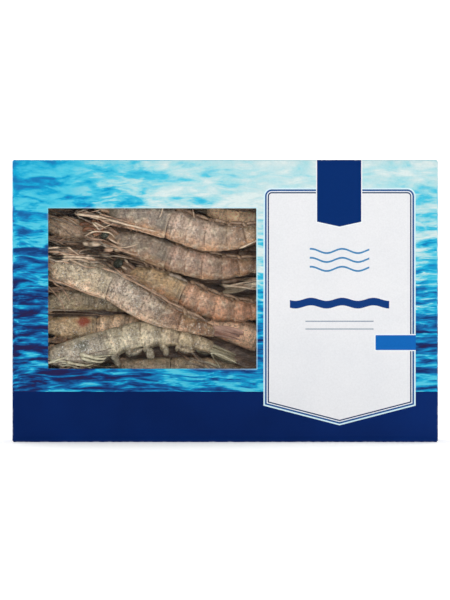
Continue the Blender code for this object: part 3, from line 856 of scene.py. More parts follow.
SHRIMP = (
    Shrimp("shrimp_top", (-40.5, -11.4, 155), -19, 33, False, "#83776b #b29b89 #92775f #ab7c55",
           size=1.08, girth=1.10, neck=4, roll=8, edges=0.18,
           blush=((2, 0, 5), 5, "#5b5344")),
    Shrimp("shrimp_second", (-41, -3.2, 132.1), -15.5, 23, False, "#7d6f61 #a78d7c #87654d #85603f",
           girth=1.05, neck=-4, roll=16, edges=0.32, joint_line=0.5, pepper=0.3),
    Shrimp("shrimp_third", (-30.9, 0.1, 105.3), -23, 30, False, "#ac906c #bb9276 #b88362 #b07854",
           girth=1.04, roll=16, head_out=-4.5, frost=0.1, edges=0.4, pepper=0.25, belly=0.4,
           eye=(3.6, -2.8, 1.35)),
    Shrimp("shrimp_middle", (-82, -11.6, 111), -32, 15, False, "#a7977e #a29281 #77553a #c9a78a",
           size=1.09, girth=1.06, neck=13, roll=4, feelers=16, frost=0.55, edges=0.1, pepper=1),
    Shrimp("shrimp_bottom", (-85.5, -4.2, 67.7), 15, 33, True, "#a29887 #bbb096 #ad9a7c #aca186",
           size=1.04, girth=1.08, roll=-10, head_out=8, legs_spread=True, feelers=16, frost=0.6,
           edges=0.35, joint_line=0.4, pepper=0.55, blush=((26, 0, 2.6), 3.6, "#56584a")),
    Shrimp("shrimp_left", (-96, 10.8, 100.8), -4, 2, False, "#85775f #85775f #85775f #827252",
           size=0.84, girth=0.98, neck=7, head_out=14, tail_in=1.6, feelers=16, edges=0.4, joint_line=0.4,
           pepper=0.8),
    # Its middle and tail are painted paler than its shell, as painted light where the middle shrimp shades
    # them
    Shrimp("shrimp_left_low", (-92.6, 9.8, 80.2), 5, 25, True, "#aa9170 #dfbe9c #c9ab86 #b08e64",
           size=0.92, girth=0.96, neck=-5, head_out=15, feelers=16, blush=((30.1, 0, 5.8), 4.5, "#8e2a15")),
    Shrimp("shrimp_left_high", (-95, 10.2, 149.6), -5, 0, True, "#9e846b #9e846b #9e846b #967756",
           size=0.86, head_out=9, feelers=16, edges=0.5),
    # The corner, right and lower right shrimp are painted paler than their shell, as painted light where the
    # carton's top edge and the shrimp in front of them shade them
    Shrimp("shrimp_corner", (60, 5, 153), 176, 10, False, "#ffe2bc #ffe2bc #ffd4a8 #ffc390",
           size=0.98, edges=0.2, pepper=0, olive=0, belly=1),
    Shrimp("shrimp_right", (84, 9.6, 112.8), 180, 4, True, "#f4e2c0 #f4e2c0 #f6e4c8 #ecd4ac", size=0.92),
    Shrimp("shrimp_right_low", (24, 8.8, 71.8), -20, 10, False, "#e8bd9a #e8bd9a #e8bd9a #d8a784",
           size=0.98, frost=0.1),
    Shrimp("shrimp_base", (-39.5, 8.4, 49.8), 0, 15, True, "#a7957d #a79379 #9f8c75 #ab9373",
           size=0.95, edges=0.3),
)


class Spine:
    """Bends a straight shrimp, whose points are (along, side, up), into its place, just as in the frame."""

    STEPS = 120
    LEAN_POWER = 1.3

    def __init__(self, shrimp):
        self.shrimp = shrimp
        share = np.linspace(0, 1, self.STEPS + 1)
        swing = share - np.sin(2 * pi * share) / (2 * pi)
        self.alongs = share * ABDOMEN
        neck = shrimp.neck * (1 - smooth(self.alongs, 0, PLATES[0]))
        self.angles = np.radians(shrimp.heading + neck - shrimp.turn * shrimp.bend * swing)
        middle = (self.angles[1:] + self.angles[:-1]) / 2
        step = ABDOMEN / self.STEPS
        self.xs, self.zs = (
            np.concatenate([[0], np.cumsum(part(middle)) * step]) for part in (np.cos, np.sin)
        )

    def place(self, points):
        shrimp = self.shrimp
        along = points[:, 0] - CARAPACE
        held = np.clip(along, 0, ABDOMEN)
        angle, x, z = (np.interp(held, self.alongs, values) for values in (self.angles, self.xs, self.zs))
        x = x + (along - held) * np.cos(angle)
        z = z + (along - held) * np.sin(angle)
        head = np.clip(-along / CARAPACE, 0, None) ** self.LEAN_POWER
        tail = np.clip(along / ABDOMEN, 0, None) ** self.LEAN_POWER
        roll = radians(shrimp.roll)
        side, up = points[:, 1] * shrimp.girth, points[:, 2] * shrimp.girth
        back = (up * cos(roll) - side * sin(roll)) * shrimp.turn
        out = up * sin(roll) + side * cos(roll)
        placed = np.column_stack([x - back * np.sin(angle), -out, z + back * np.cos(angle)]) * shrimp.size
        placed[:, 1] += shrimp.tail_in * tail - shrimp.head_out * head
        return placed + np.array(shrimp.joint)


def girth_at(along):
    """Reach towards the back, the belly and each side at places along the body."""
    return [np.interp(along, GIRTH[:, 0], GIRTH[:, column]) for column in (1, 2, 3)]


def body_rings(edges_strength, joint_line):
    """Rows of (along, nose size, depth below the shell, joint line, rim, place on the plate, has lobes)."""
    nose = ((-0.8, 0.45), (0, 0.72), (1, 0.86), (2.5, 0.95), (5, 1))
    rows = [(along, size, 0, 0, 0, 0.5, 0) for along, size in nose]
    edges = np.cumsum([CARAPACE, *PLATES])
    start = nose[-1][0]
    for number, edge in enumerate(edges):
        plate = number > 0
        first, last = start + (PLATE_EDGE[-1][0] if plate else 0.9), edge + PLATE_EDGE[0][0]
        for along in np.linspace(first, last, max(2, round((last - first) / RING_PITCH)), endpoint=False):
            place = float(np.clip((along - start) / (edge - start), 0, 1)) if plate else 0.5
            rows.append((along, 1, 0, 0, 0, place, plate))
        if number == len(edges) - 1:
            break
        strength = edges_strength * EDGE_STRENGTH[number] if plate else joint_line
        for off, depth, line, rim in PLATE_EDGE:
            look = [value * strength for value in (depth, line, rim)]
            rows.append((edge + off, 1, *look, 1 if off <= 0 else 0, plate or off > 0))
        start = edge
    rows += [(edge - 1.2, 0.97, 0, 0, 0.2, 0.9, 0), (edge - 0.4, 0.9, 0, 0, 0.5, 1, 0),
             (edge, 0.75, 0, 0.3, 0, 1, 0)]
    return np.array(rows, float)


def body(draft, seed, edges, joint_line):
    """The shell as one skin: carapace, six overlapping plates with lips, and the belly between the lobes."""
    along, nose, depth, line, rim, share, lobed = body_rings(edges, joint_line).T[:, :, None]
    turn = 2 * pi * np.arange(AROUND) / AROUND
    upward, sideways = np.cos(turn)[None, :], np.sin(turn)[None, :]
    back, belly, side = girth_at(along)
    bulge = np.sin(pi * np.clip(share * 1.05, 0, 1)) ** 0.7
    lobe = np.where(lobed > 0, 1 - 0.06 * edges + 0.13 * edges * bulge, 1)
    reach = np.where(upward > 0, back, belly * lobe)
    up = reach * np.sign(upward) * np.abs(upward) ** SQUARENESS * 0.955
    out = side * np.sign(sideways) * np.abs(sideways) ** SQUARENESS * 0.985
    at = along + 0 * upward
    # The carapace has a keel that runs on into the rostrum, and grooves behind the eye and over the gills
    keel = 0.9 * (1 - smooth(at, 4, 24)) * bell(np.minimum(turn, 2 * pi - turn)[None, :], 0.16)
    up, out = up * nose + keel, out * nose
    behind_eye, over_gills = 3 - 0.42 * (at - 5), -1.5 + 0.05 * (at - 14)
    cut = 0.55 * bell(up - behind_eye, 0.9) * smooth(at, 4, 9) * (1 - smooth(at, 20, 26))
    cut = cut + 0.4 * bell(up - over_gills, 0.8) * smooth(at, 12, 18) * (1 - smooth(at, 31, 37))
    # The belly is hollow between the lobes of the plates
    hollow = 0.34 * bell(turn - pi, 0.45)[None, :] * smooth(at, 30, 44)
    up = np.where(upward < 0, up * (1 - hollow), up)
    flat = np.stack([at, out, up], axis=2).reshape(-1, 3)
    uneven = 0.22 * (1 + ripple(flat, 11, seed)) + 0.10 * (1 + ripple(flat * (1, 0.45, 0.45), 2.6, seed + 9))
    uneven = uneven.reshape(at.shape) * smooth(at, 1, 8)
    folds = sum(bell(at - edge - 0.6, 1.9) for edge in np.cumsum([CARAPACE, *PLATES[:-1]]))
    broken = np.clip(0.7 + 1.2 * ripple(flat, 9, seed + 4).reshape(at.shape), 0, 1.5)
    uneven = uneven + 1.3 * edges * folds * broken
    radius = np.hypot(out, up) + 1e-6
    shrink = (radius - depth - cut - uneven) / radius
    out, up = out * shrink, up * shrink
    # Edges sweep back from mid height towards the back and the belly
    high = up / 12
    above = np.clip(high, 0, None) ** 1.5
    head_sweep = 0.6 * above + 3.5 * np.clip(-high + 0.1, 0, None) ** 1.5
    plate_sweep = 2.4 * above + 1.5 * np.clip(-high, 0, None) ** 1.5
    after = smooth(at, 40, 51)
    at = at + smooth(at, 20, 40) * (1 - after) * head_sweep + after * (1 - smooth(at, 104, 114)) * plate_sweep
    belly_fade = np.clip(1.2 + upward * 1.6, 0, 1)
    marks = np.stack([line * belly_fade, rim * belly_fade, share + 0 * upward], axis=2)
    draft.loft(np.stack([at, out, up], axis=2), SHELL, marks)


def rostrum(draft):
    """The toothed spike between the eyes: a blade on edge with seven teeth on top and two below."""
    share = np.linspace(0, 1, 60)
    along = 7 - 27 * share
    middle = 7.6 - 1.4 * share + 0.9 * share ** 2
    tall = 3.6 * (1 - share) ** 0.8 + 0.5
    teeth = 1.1 * ((share * 8.2) % 1) * (share > 0.02) * (share < 0.86)
    below = 0.7 * ((share * 8.2 + 0.4) % 1) * (share > 0.55) * (share < 0.8)
    top, bottom = middle + tall / 2 + teeth, middle - tall / 2 - below
    thick = 0.8 * (1 - share) + 0.22
    outline = ((1, 0), (0.55, 0.8), (0, 1), (-0.6, 0.7), (-1, 0), (-0.6, -0.7), (0, -1), (0.55, -0.8))
    rings = [
        [(at, side * wide, (over + under) / 2 + high * (over - under) / 2) for high, side in outline]
        for at, over, under, wide in zip(along, top, bottom, thick)
    ]
    draft.loft(rings, LIMB)


def head_limbs(draft, side, feelers, eye, rng):
    """Eye on its stalk, feelers, antennal scale, jaw legs and the five walking legs of one side."""
    mirror = (1, side, 1)

    def limb(path, widths, thicknesses=None, **shape):
        draft.tube(curve_through(path) * mirror, widths, thicknesses or widths, **shape)

    def feeler(path, widths):
        """Drawn at its whole length, and shortened where the end of the carton is near."""
        root, whole = FEELER_ROOT, FEELER_TIP - FEELER_ROOT
        path = [
            (along if along > -root else -root + (along + root) * (feelers - root) / whole, *rest)
            for along, *rest in path
        ]
        limb(path, widths, sides=6)

    # The eye on its stalk
    ahead, above, large = eye
    limb([(3, 1.4, 3.4), (-1 - 0.5 * ahead, 3, 3.2 + 0.3 * above), (-5 - ahead, 4, 2.6 + above)],
         (2, 2.4, 3.2))
    ball = np.linspace(-1, 1, 13)
    path = [(-6.6 - ahead - 1.6 * t, side * (4.3 + 1.8 * t), 2.5 + above + 0.2 * t) for t in ball]
    girth = large * np.sqrt(1.001 - ball ** 2)
    draft.tube(path, 6 * girth, 5.2 * girth, sides=16, slot=EYE)
    # The flat scale beside the feelers, with its rib
    scale = curve_through([(4, 2.6, 0), (-2, 3.2, 0.2), (-9, 3.5, 0.4), (-15, 3.2, 0.5)]) * mirror
    draft.tube(scale, (2.6, 4.4, 4.8, 4.4, 3.4, 1.2), (0.8, 0.7, 0.6, 0.5, 0.4, 0.3), (0, 0, 1), 12)
    rib = scale + (0, 0.3 * side, 2) * np.linspace(0.6, 0.35, len(scale))[:, None]
    draft.tube(rib, (1, 0.9, 0.4), (1, 0.9, 0.4), sides=6)
    # The short feeler: a thick foot with two thin whips
    limb([(3, 1.4, 1.8), (-4, 1.7, 2.1), (-10, 1.9, 2.3)], (2.4, 2, 1.9, 1.2), (2.2, 1.9, 1.2))
    for up, out in ((3.2, 1.6), (-1.2, 0.4)):
        feeler([(-9.5, 1.8, 2.2), (-15, 1.9 + out * 0.4, 2.4 + up * 0.3), (-22, 2 + out, 2.3 + up)],
               (0.9, 0.6, 0.3))
    # The long feeler on its thick foot, the jaw leg, and the walking legs folded forwards under the head
    limb([(2, 3.2, -1.5), (-2.5, 4.2, -2.2), (-6.5, 4.4, -2.4)], (3.8, 3.6, 2.2), (3, 2.8, 2))
    feeler([(-6, 4.4, -2.4), (-13, 4.6, -1.8 + rng.uniform(-0.5, 0.5)), (-21, 4.2, -2.5), (-27, 3.6, -3.4)],
           (1.3, 1, 0.8, 0.6))
    limb([(14, 3, -8.2), (5, 3.4, -8.8), (-5, 2.9, -7), (-15, 2.3, -4.6)], (2.2, 2.3, 2, 1.6, 0.6),
         (1.8, 1.9, 1.5, 0.6))
    for leg in range(5):
        sway, lift = rng.uniform(-0.6, 0.6, 2)
        path = [
            (27 - 4.2 * leg, 3, -8.6 + 0.5 * leg),
            (23 - 4.4 * leg, 4, -11.2 + 0.6 * leg + lift),
            (11 - 5 * leg, 4.4 - 0.35 * leg, -11.6 + 1.1 * leg - lift),
            (2 - 4.2 * leg, 4 - 0.4 * leg + sway, -10.9 + 1.5 * leg + lift),
            (-4 - 3.4 * leg, 3.6 - 0.4 * leg, -10 + 1.6 * leg + sway),
        ]
        limb(path, (2.2, 2.5, 1.7, 1.8, 1.2, 1.3, 0.5), (2, 2, 1.4, 1.5, 1, 1, 0.4), sides=7)


# Under each of the first five plates: how far back and how far below the belly the leg's tip lies, and how
# broad it is
FOLDED_LEGS = ((14, -2, 0.5),) * 5
SPREAD_LEGS = ((2.5, 6, 0.85), (11, -2.2, 0.6), (6.5, 4.2, 1.6), (5, 2.2, 1.3), (12, -1.2, 0.6))


def swimming_legs(draft, side, spread, rng):
    """A pair of leaf-shaped branches on a thick foot, under each of the first five plates."""
    start = CARAPACE
    finish = SHELL if spread else LIMB
    leaning = {"across": (0.3, 0, 1), "slot": finish}
    for length, (back, drop, wide) in zip(PLATES, SPREAD_LEGS if spread else FOLDED_LEGS):
        hinge = start + 0.4 * length
        below = girth_at(hinge)[1]
        back += rng.uniform(-0.8, 0.8)
        foot = (hinge + 1.5, 2.9 * side, -below * (1 if spread else 0.92))
        draft.tube(curve_through([(hinge, 2.8 * side, -0.7 * below), foot]), (5.4, 5.6, 4.6), (2.6, 2.4, 1.8),
                   across=(1, 0, 0), sides=10, slot=finish)
        tip = (hinge + back, 2.2 * side, -below - drop)
        middle = ((foot[0] + tip[0]) / 2, 2.9 * side, (foot[2] + tip[2]) / 2 - 0.5)
        leaf = curve_through([foot, middle, tip], 0.6)
        widths = np.array((3.2, 4.2, 4.2, 3, 1)) * wide
        draft.tube(leaf, widths, (1.4, 1.1, 0.9, 0.5), sides=12, **leaning)
        inner = leaf * (1, 0.5, 1) + (-1.2, 0, 1.6)
        draft.tube(inner, (1.8, 2.8, 2.6, 0.9), (1, 0.8, 0.5), sides=10, **leaning)
        start += length


def tail_fan(draft):
    """The pointed telson, and two ribbed blades on each side of it."""
    path = curve_through([(112.5, 0, 1.9), (120, 0, 1.7), (127, 0, 1.1), (132, 0, 0.6)])
    draft.tube(path, (5.4, 5, 4, 2.6, 0.8), (2.8, 2.4, 1.9, 1.4, 0.7), sides=12, slot=BLADE)
    for number in (0, 1):
        drop = 1 + 1.2 * number
        for side in (-1, 1):
            start = np.array((112.5, side * 1.6, -0.5 * drop))
            end = np.array((131.5 + 2 * number, side * (2.6 + 1.6 * number), -1.7 * drop))
            path = curve_through([start, start * 0.6 + end * 0.4 + (0, side * 0.7, -0.2), end])
            across = (0, cos(0.9), -side * sin(0.9))
            draft.tube(path, (2.6, 4.4, 5.6, 5.8, 5, 2.2), (1.4, 1.1, 0.9, 0.7, 0.5, 0.3), across, 14, BLADE)
            draft.tube(path + (0, 0.25 * side, 0.35), (1.2, 1, 0.4), (1.1, 0.9, 0.4), across, 6, BLADE)


def build_shrimp(shrimp, limb, eye, blade):
    """Draws a straight shrimp and bends it into its place."""
    rng = np.random.default_rng(len(shrimp.name) * 7 + int(shrimp.joint[2]))
    draft = Draft()
    body(draft, shrimp.joint[2], shrimp.edges, shrimp.joint_line)
    rostrum(draft)
    tail_fan(draft)
    for side in (-1, 1):
        head_limbs(draft, side, shrimp.feelers, shrimp.eye, rng)
        swimming_legs(draft, side, shrimp.legs_spread, rng)
    finishes = [shell(f"raw shell of {shrimp.name}", shrimp), limb, eye, blade]
    made = draft.build(f"{shrimp.name}_whole", finishes, Spine(shrimp).place)
    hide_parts(shrimp.name)
    return made


# ---- feelers, frost and bed

# Loose feelers and legs that lie over the shrimp: (thickness, number of its horn, (x, z) along it)
STRANDS = (
    (1.7, 2, ((-106.1, 161.1), (-99.3, 160.3), (-88.9, 159.1), (-80.6, 156.7), (-72.3, 154.3),
        (-64, 152.2), (-55.7, 150.3), (-48.4, 148.5))),
    (1, 1, ((-88.9, 160.9), (-81.6, 159.1), (-74.4, 156.8), (-67.1, 154.9), (-58.8, 152.8))),
    (1.4, 1, ((-88.9, 157.4), (-81.6, 154.1), (-72.3, 152.2), (-61.9, 149.7), (-51.5, 146.6),
        (-44.2, 144.3))),
    (1, 1, ((-128.4, 166.5), (-122.7, 163.8), (-115.9, 161.1), (-108.7, 158), (-103.3, 157.2))),
    (1, 2, ((-107.1, 162.4), (-104.5, 160.3), (-103.3, 158.2))),
    (1.3, 2, ((-94.6, 155.5), (-91.8, 152.8), (-88.9, 149.2))),
    (1.2, 2, ((-92.9, 155.3), (-88.9, 153.4), (-84.6, 151))),
    (0.9, 1, ((-89.1, 149.4), (-86.8, 151), (-85.2, 153))),
    (1.2, 2, ((-99.5, 145.5), (-96.2, 147.6), (-92.9, 148.7), (-85.8, 148.5), (-81.6, 147.6),
        (-78.5, 144.7))),
    (1.1, 1, ((-99.3, 146.2), (-96.7, 144.7), (-93.1, 143.5), (-86.8, 142.8), (-81.6, 140.6),
        (-75.4, 137.4), (-68.1, 134.3), (-59.8, 131.2))),
    (1, 1, ((-128.4, 145.2), (-124.3, 143.5), (-120.1, 142.1), (-117, 140.6), (-113.9, 139.3),
        (-106.6, 139.7), (-100.4, 139.5))),
    (0.9, 0, ((-128.4, 143.5), (-124.3, 142.1), (-120.6, 140.6), (-117, 139), (-109.7, 138.7))),
    (1.1, 0, ((-114.9, 142), (-107.6, 141.6), (-100.4, 142.6), (-96.2, 143.5))),
    (1.2, 2, ((-128.4, 136.2), (-124.3, 136.8), (-117, 137.4), (-110.8, 137.2), (-106.6, 134.3),
        (-102.2, 131.2))),
    (1, 2, ((-96.2, 136.6), (-99.3, 135.9), (-101.9, 134.8), (-103.3, 133.5))),
    (1.2, 1, ((-128.4, 134.8), (-124.3, 134.3), (-118, 134.1), (-111.8, 132.8), (-105.6, 132),
        (-98.3, 131.2))),
    (1.7, 2, ((-129.5, 130.7), (-124.3, 130.7), (-115.9, 130.6), (-105.6, 130.8), (-96.2, 130),
        (-88.9, 129.3), (-84.8, 128.9))),
    (1, 2, ((-115.9, 128.7), (-106.6, 129.1), (-100.4, 128.3), (-95.2, 126.2))),
    (1.3, 1, ((-99.3, 129.6), (-92, 128.6), (-84.8, 125.8), (-78.5, 122.7), (-72.3, 118.2),
        (-66.1, 114.1), (-57.7, 109.4), (-48.4, 104.2), (-40.1, 99), (-30.7, 94.8))),
    (1, 0, ((-96.2, 126.5), (-88.9, 127), (-83.7, 125), (-76.5, 119.8), (-70.2, 114.6), (-61.9, 108.3),
        (-53.6, 103.1))),
    (1.1, 2, ((-98.3, 131.2), (-91, 132), (-84.8, 131.4), (-78.5, 131.7), (-72.3, 130.7), (-66.1, 129.6))),
    (1.2, 1, ((-83.2, 141.1), (-78.5, 138.5), (-72.3, 134.8), (-66.1, 133.3), (-58.8, 131.2),
        (-51.5, 128.1))),
    (1.5, 2, ((-82.5, 143.9), (-79.6, 142), (-76, 140.3))),
    (1.9, 2, ((-72.3, 129.3), (-69, 126.6))),
    (1.7, 2, ((-73.9, 124.1), (-70, 121.6))),
    (1.6, 2, ((-64, 125), (-58.4, 124.1))),
    (3.9, 2, ((-101.6, 140.9), (-97.2, 140), (-93.1, 139.7), (-88.5, 139.5))),
    (3.6, 1, ((-86, 135.9), (-79.4, 135.6))),
    (1.2, 0, ((-138, 93.6), (-124, 93.2), (-110, 92.8), (-96, 91.6), (-88, 90.4))),
    (1, 1, ((-138, 91.2), (-124, 90.7), (-108, 90.3), (-94, 89.6), (-86, 88.6))),
    (3, 0, ((-40, 118.6), (-33, 116.4), (-27, 113.4))),
    (1, 2, ((-43.5, 166.5), (-45.1, 160.8), (-46.4, 158.3))),
    (1.8, 3, ((-136, 55), (-123, 56.2), (-118.3, 58), (-112.7, 59.4))),
    (2.8, 3, ((-102.9, 61.8), (-97.3, 60.8), (-91.2, 59), (-86.1, 58.5), (-84.2, 59.4))),
    (2.3, 3, ((-101.9, 59.4), (-96.3, 57.6), (-88.9, 56.2), (-85.6, 57.1))),
    (2.2, 3, ((-112.2, 56.6), (-105.2, 54.8), (-98.2, 53.8), (-93.5, 54.8))),
    (1.2, 1, ((-34.3, 62.7), (-29.6, 60.1), (-25.2, 57.4))),
    (1.9, 3, ((-20.8, 63.9), (-15, 61.8), (-10.6, 61))),
    (1.2, 1, ((-23.4, 61.5), (-20.8, 59.2), (-18.5, 57.2))),
    (1.3, 1, ((-138, 119), (-124.4, 114.5), (-115.3, 112.3), (-105.2, 108), (-96.1, 104.4), (-88, 102.2))),
    (1, 1, ((-136, 116), (-124.4, 113), (-116.3, 109.5), (-108.2, 107))),
    (1.6, 2, ((-4.1, 111), (11.1, 109.5), (21.2, 108), (30, 107))),
    (1.4, 2, ((-1, 109.5), (15.1, 113), (28, 115))),
    (1.4, 2, ((10.1, 136.8), (16.1, 139.3), (21.2, 141.6), (29, 145))),
    (1, 2, ((-23.3, 166.5), (-21.8, 158))),
    (1.1, 1, ((-73.8, 117.6), (-59.7, 110.5), (-47.6, 105.4))),
)
# Broad ones under them
UNDER_STRANDS = (
    (3.4, 4, ((-104, 154), (-98, 154.6), (-91, 151.6))),
    (2.8, 4, ((-101.5, 149.8), (-95.5, 151.2), (-89.5, 148.6), (-86, 150.5))),
    (2.5, 4, ((-97, 157.4), (-91, 155.6), (-84.5, 154.2))),
    (2.6, 4, ((-94, 146.8), (-88.5, 147.2))),
    (4.4, 1, ((9.5, 134.4), (16, 133.4), (27, 132.4))),
    (3.6, 1, ((13.5, 135.7), (18, 136.5), (27, 137.6))),
    (3.4, 1, ((-2.5, 112.7), (8, 114.3), (27, 116))),
)
# Strands stay behind this depth, next to the film, and lie on the bed's front where there is no shrimp
STRAND_FRONT, BED_FRONT = -20.9, 18
# Eyes that the loose legs keep clear of, and by how much
EYES, EYE_REACH = ((-84.8, 145.2), (-76, 127)), 4.5
# How many samples on each side count where a strand bridges a hollow
BRIDGE = 4
# Tangles of thin legs under them: (lower left of where they start, upper right, how many, their slope)
LOOSE_LEGS = (
    ((-140, 158), (-92, 166), 26, -22), ((-140, 126), (-90, 141), 46, -6), ((-104, 141), (-93, 156), 14, -14),
    ((-88, 122), (-80, 140), 8, -24), ((-4, 106), (30, 115), 13, 2), ((-136, 50), (-96, 60), 18, -4),
    ((-134, 112), (-120, 118), 6, -24), ((-30, 54), (-8, 64), 8, -28),
)
# Below this height the loose legs are of the cream horn
CREAM_BELOW, CREAM = 62, 3


def surface_in_front(objects):
    """Gives what finds how deep the nearest of these pieces lies behind a place, and how it faces there."""
    points, faces = [], []
    for obj in objects:
        start = len(points)
        points += [vertex.co.copy() for vertex in obj.data.vertices]
        faces += [[start + corner for corner in face.vertices] for face in obj.data.polygons]
    tree = BVHTree.FromPolygons(points, faces)

    def depth(x, z):
        hit, facing, _, _ = tree.ray_cast(Vector((x, -30, z)) * MM, Vector((0, 1, 0)))
        return hit.y / MM if hit else BED_FRONT, facing

    return depth


def drape(route, radius, depth):
    """Lays a route on what is behind it: it touches the high places and bridges the low ones."""
    flat = curve_through([(x, 0, z) for x, z in route])
    found = np.array([depth(x, z)[0] for x, _, z in flat]) - radius
    nearest = np.array([found[max(0, n - BRIDGE):n + BRIDGE + 1].min() for n in range(len(found))])
    window = np.hanning(2 * BRIDGE + 1)
    eased = np.convolve(np.pad(nearest, BRIDGE, mode="edge"), window / window.sum(), mode="valid")
    flat[:, 1] = np.clip(np.minimum(eased, found + radius * 0.5), STRAND_FRONT, None)
    return flat


def tangle():
    """Thin legs at random in the tangles, clear of the eyes; paler near the foot of the window."""
    rng = np.random.default_rng(5)
    loose = []
    for low, high, count, slope in LOOSE_LEGS:
        for _ in range(count):
            x, z = rng.uniform(low[0], high[0]), rng.uniform(low[1], high[1])
            route, turn = [(x, z)], radians(slope + rng.normal(0, 11))
            for _ in range(rng.integers(2, 5)):
                step = rng.uniform(5, 9)
                x, z = x + step * cos(turn), z + step * sin(turn)
                route.append((x, z))
                turn += radians(rng.normal(0, 9))
            thick, tone = rng.uniform(0.5, 1.3), int(rng.choice(3, p=(0.45, 0.4, 0.15)))
            if tone and z < CREAM_BELOW:
                tone = CREAM
            if min(np.hypot(x - eye_x, z - eye_z) for x, z in route for eye_x, eye_z in EYES) > EYE_REACH:
                loose.append((thick, tone, route))
    return loose


def build_strands(name, strands, depth, finishes):
    """Feelers and legs laid over what is behind them, thicker at their root and with small swellings."""
    rng = np.random.default_rng(7)
    draft = Draft()
    for thick, tone, route in strands:
        path = drape(route, thick / 2, depth)
        count = len(path)
        swell = 1 + 0.14 * np.sin(np.linspace(0, count * 0.5, count) + rng.uniform(0, 6))
        to_end = np.minimum(np.arange(count), np.arange(count)[::-1])
        taper = np.linspace(1.1, 0.6, count) * np.minimum(1, to_end / 3 + 0.35)
        draft.tube(path, thick * swell * taper, thick * 0.8 * swell * taper, across=(0, 0, 1), slot=tone)
    made = draft.build(name, finishes)
    return made


# Where the frost is thicker, as (x, z, reach, grains), and its larger beads
FROST_PATCHES = (
    (-102, 64, 15, 110), (-102, 65, 7, 60), (-110, 120, 16, 70), (-75, 104, 20, 70), (-60, 92, 16, 40),
    (-88, 74, 14, 30), (-40, 74, 16, 25), (-30, 150, 22, 30), (13, 148, 8, 26), (-5, 153, 5, 10),
    (16, 114, 8, 10),
)
FROST_BEADS = (
    (-105.7, 67.9), (-100.3, 68.1), (-97, 62.7), (-106.9, 63.6), (-115, 66.9), (-90.5, 63.6), (-117.6, 61.3),
    (-102.6, 66.9), (-99, 64.8), (-103.9, 61.4), (-98.8, 61), (-94.8, 65.2), (-101.4, 64),
)
BEAD = 0.62
# Nothing deeper than this has frost
FROST_DEPTH = 6
# From one ridge of the bed to the next
RIDGE_PITCH = 19


def build_frost(depth, finish):
    """Grains of frost stuck to the nearest shells: small, uneven, thicker in a few patches."""
    rng = np.random.default_rng(11)
    spots = [(x, z, BEAD) for x, z in FROST_BEADS]
    for x, z, reach, grains in FROST_PATCHES:
        turn, far = rng.uniform(0, 2 * pi, grains), reach * np.sqrt(rng.uniform(0, 1, grains))
        spots += zip(x + far * np.cos(turn), z + far * np.sin(turn), rng.uniform(0.16, 0.36, grains))
    draft = Draft()
    for x, z, size in spots:
        y, facing = depth(x, z)
        if facing is None or y > FROST_DEPTH:
            continue
        ball = bmesh.new()
        bmesh.ops.create_icosphere(ball, subdivisions=1, radius=1)
        grain = np.array([vertex.co for vertex in ball.verts]) * rng.uniform(0.7, 1.3, 3) * size
        grain *= rng.uniform(0.8, 1.15, (len(grain), 1))
        grain += (x, max(y - size * 0.25, STRAND_FRONT + 0.2), z)
        draft.add(grain, [[vertex.index for vertex in face.verts] for face in ball.faces])
        ball.free()
    draft.build("frost_grains", [finish])


def build_bed(finish):
    """The frozen layer behind the shrimp: slanting ridges with lumps and hollows, closed at the back."""
    low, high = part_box("frozen_bed")
    columns = np.linspace(low.x, high.x, 130) / MM
    rows = np.linspace(low.z, high.z, 96) / MM
    points = np.array([(x, 0, z) for z in rows for x in columns])
    phase = 2 * pi * (points[:, 2] + 0.28 * points[:, 0]) / RIDGE_PITCH
    ridges = BED_FRONT + 1 - np.cos(phase + 0.9 * np.sin(points[:, 0] / 28))
    points[:, 1] = ridges + 0.4 * ripple(points, 7, 2) + 0.2 * ripple(points, 2.4, 6)
    edge = grid_edge(len(rows), len(columns))
    back = points[edge]
    back[:, 1] = high.y / MM
    ring = [len(points) + number for number in range(len(edge))]
    faces = sheet_faces(len(rows), len(columns)) + rim_faces(edge, ring) + [tuple(ring)]
    draft = Draft()
    draft.add(np.vstack([points, back]), faces)
    made = draft.build("frozen_layer", [finish])
    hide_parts("frozen_bed")
    return made


# ---- studio

# The paper starts to curve up at this depth, with this radius, and reaches this far to each side; metres
PAPER_BEND, PAPER_CURVE, PAPER_REACH = 2.4, 0.6, 12
# How far the camera stands before the front, and how high, in metres, and its focal length in millimetres
CAMERA_AWAY, CAMERA_HIGH, FOCAL_LENGTH = 1.8, 0.1002, 153.3


def build_stage():
    """White paper that curves up far behind, lit through from below as a product table is; in metres."""
    add, dress = new_finish("white studio paper")
    fibre = add("TexNoise", add("TexCoord", out="Object"), 0.4 / MM, 4)
    colour = add("ValToRGB", fibre, stops=((0.3, "#fafafa"), (0.7, "#ffffff")))
    finish = dress(Base_Color=colour, Roughness=0.9, Specular_IOR_Level=0.1, Emission_Color="#ffffff",
                   Emission_Strength=0.42)
    profile = [(-PAPER_REACH, 0), (-3.5, 0), (PAPER_BEND, 0)]
    for turn in np.radians(range(10, 91, 10)):
        profile.append((PAPER_BEND + PAPER_CURVE * sin(turn), PAPER_CURVE - PAPER_CURVE * cos(turn)))
    profile.append((PAPER_BEND + PAPER_CURVE, 4))
    points = [(x, y, z) for y, z in profile for x in (-PAPER_REACH, -4, 4, PAPER_REACH)]
    mesh = bpy.data.meshes.new("studio_paper")
    mesh.from_pydata(points, [], sheet_faces(len(profile), 4))
    mesh.materials.append(finish)
    mesh.shade_smooth()
    put_in_scene("studio_paper", mesh)


def softbox(name, at, target, width, height, power):
    """A large soft light that points at a target."""
    light = bpy.data.lights.new(name, "AREA")
    light.shape = "RECTANGLE"
    light.size, light.size_y, light.energy = width, height, power
    lamp = put_in_scene(name, light)
    lamp.location = at
    lamp.rotation_euler = (Vector(target) - Vector(at)).to_track_quat("-Z", "Y").to_euler()


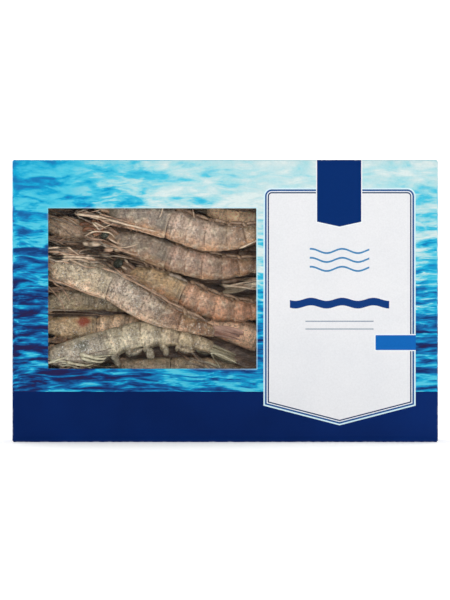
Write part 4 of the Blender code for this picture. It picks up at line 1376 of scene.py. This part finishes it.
def build_studio():
    """Lights, white surroundings and the camera, straight in front."""
    scene = bpy.context.scene
    scene.view_settings.view_transform = "Standard"
    scene.world = bpy.data.worlds.new("studio")
    scene.world.use_nodes = True
    background = scene.world.node_tree.nodes["Background"].inputs
    background["Color"].default_value = (1, 1, 1, 1)
    background["Strength"].default_value = 0.27
    softbox("key", (-0.4, -1.9, 0.68), (0, 0, 0.1), 0.8, 0.45, 8.6)
    softbox("fill", (0.7, -2.2, 0.16), (0, 0, 0.1), 0.8, 0.3, 7)
    softbox("overhead", (0, 1, 2.2), (0, 0.7, 0), 2.6, 1.8, 32)
    lens = bpy.data.cameras.new("camera")
    lens.sensor_width, lens.lens, lens.clip_end = 36, FOCAL_LENGTH, 20
    scene.camera = put_in_scene("camera", lens)
    scene.camera.location = (-0.0001, -HALF_DEPTH * MM - CAMERA_AWAY, CAMERA_HIGH)
    scene.camera.rotation_euler = (pi / 2, 0, 0)


def main():
    build_studio()
    build_stage()
    build_carton([
        printed_board(),
        plain_board("bare grey board", "#b9b3a6", "#9a9488", 0.85),
        plain_board("white board core", "#e9e6de", "#d2cec4", 0.8),
    ])
    build_film(clear_film())
    limb = chitin("brown chitin", "#a8896c", "#5a4030")
    blade, ruddy_blade, cream_blade = (
        chitin(name, light, dark, ribs=0.7) for name, light, dark in (
            ("tail blade horn", "#a8967c", "#5a4a38"), ("ruddy tail blade horn", "#ae8874", "#583a30"),
            ("cream tail blade horn", "#b0a68a", "#625841"),
        )
    )
    blades = {"shrimp_middle": ruddy_blade, "shrimp_bottom": cream_blade}
    horns = [
        chitin("grey chitin", "#ab9a86", "#54453a"), chitin("tan chitin", "#cfac8e", "#86644e"),
        chitin("pale chitin", "#ecd6ba", "#b39378"), chitin("cream chitin", "#e2dcc0", "#a69a7a"),
        chitin("ruddy chitin", "#a3714f", "#5a3521"),
    ]
    eye = wet_eye()
    pieces = [build_shrimp(shrimp, limb, eye, blades.get(shrimp.name, blade)) for shrimp in SHRIMP]
    pieces.append(build_bed(bed_ice()))
    depth = surface_in_front(pieces)
    pieces.append(build_strands("thin_legs", tangle() + list(UNDER_STRANDS), depth, horns))
    build_strands("feelers", STRANDS, surface_in_front(pieces), horns)
    build_frost(depth, frost_ice())


main()
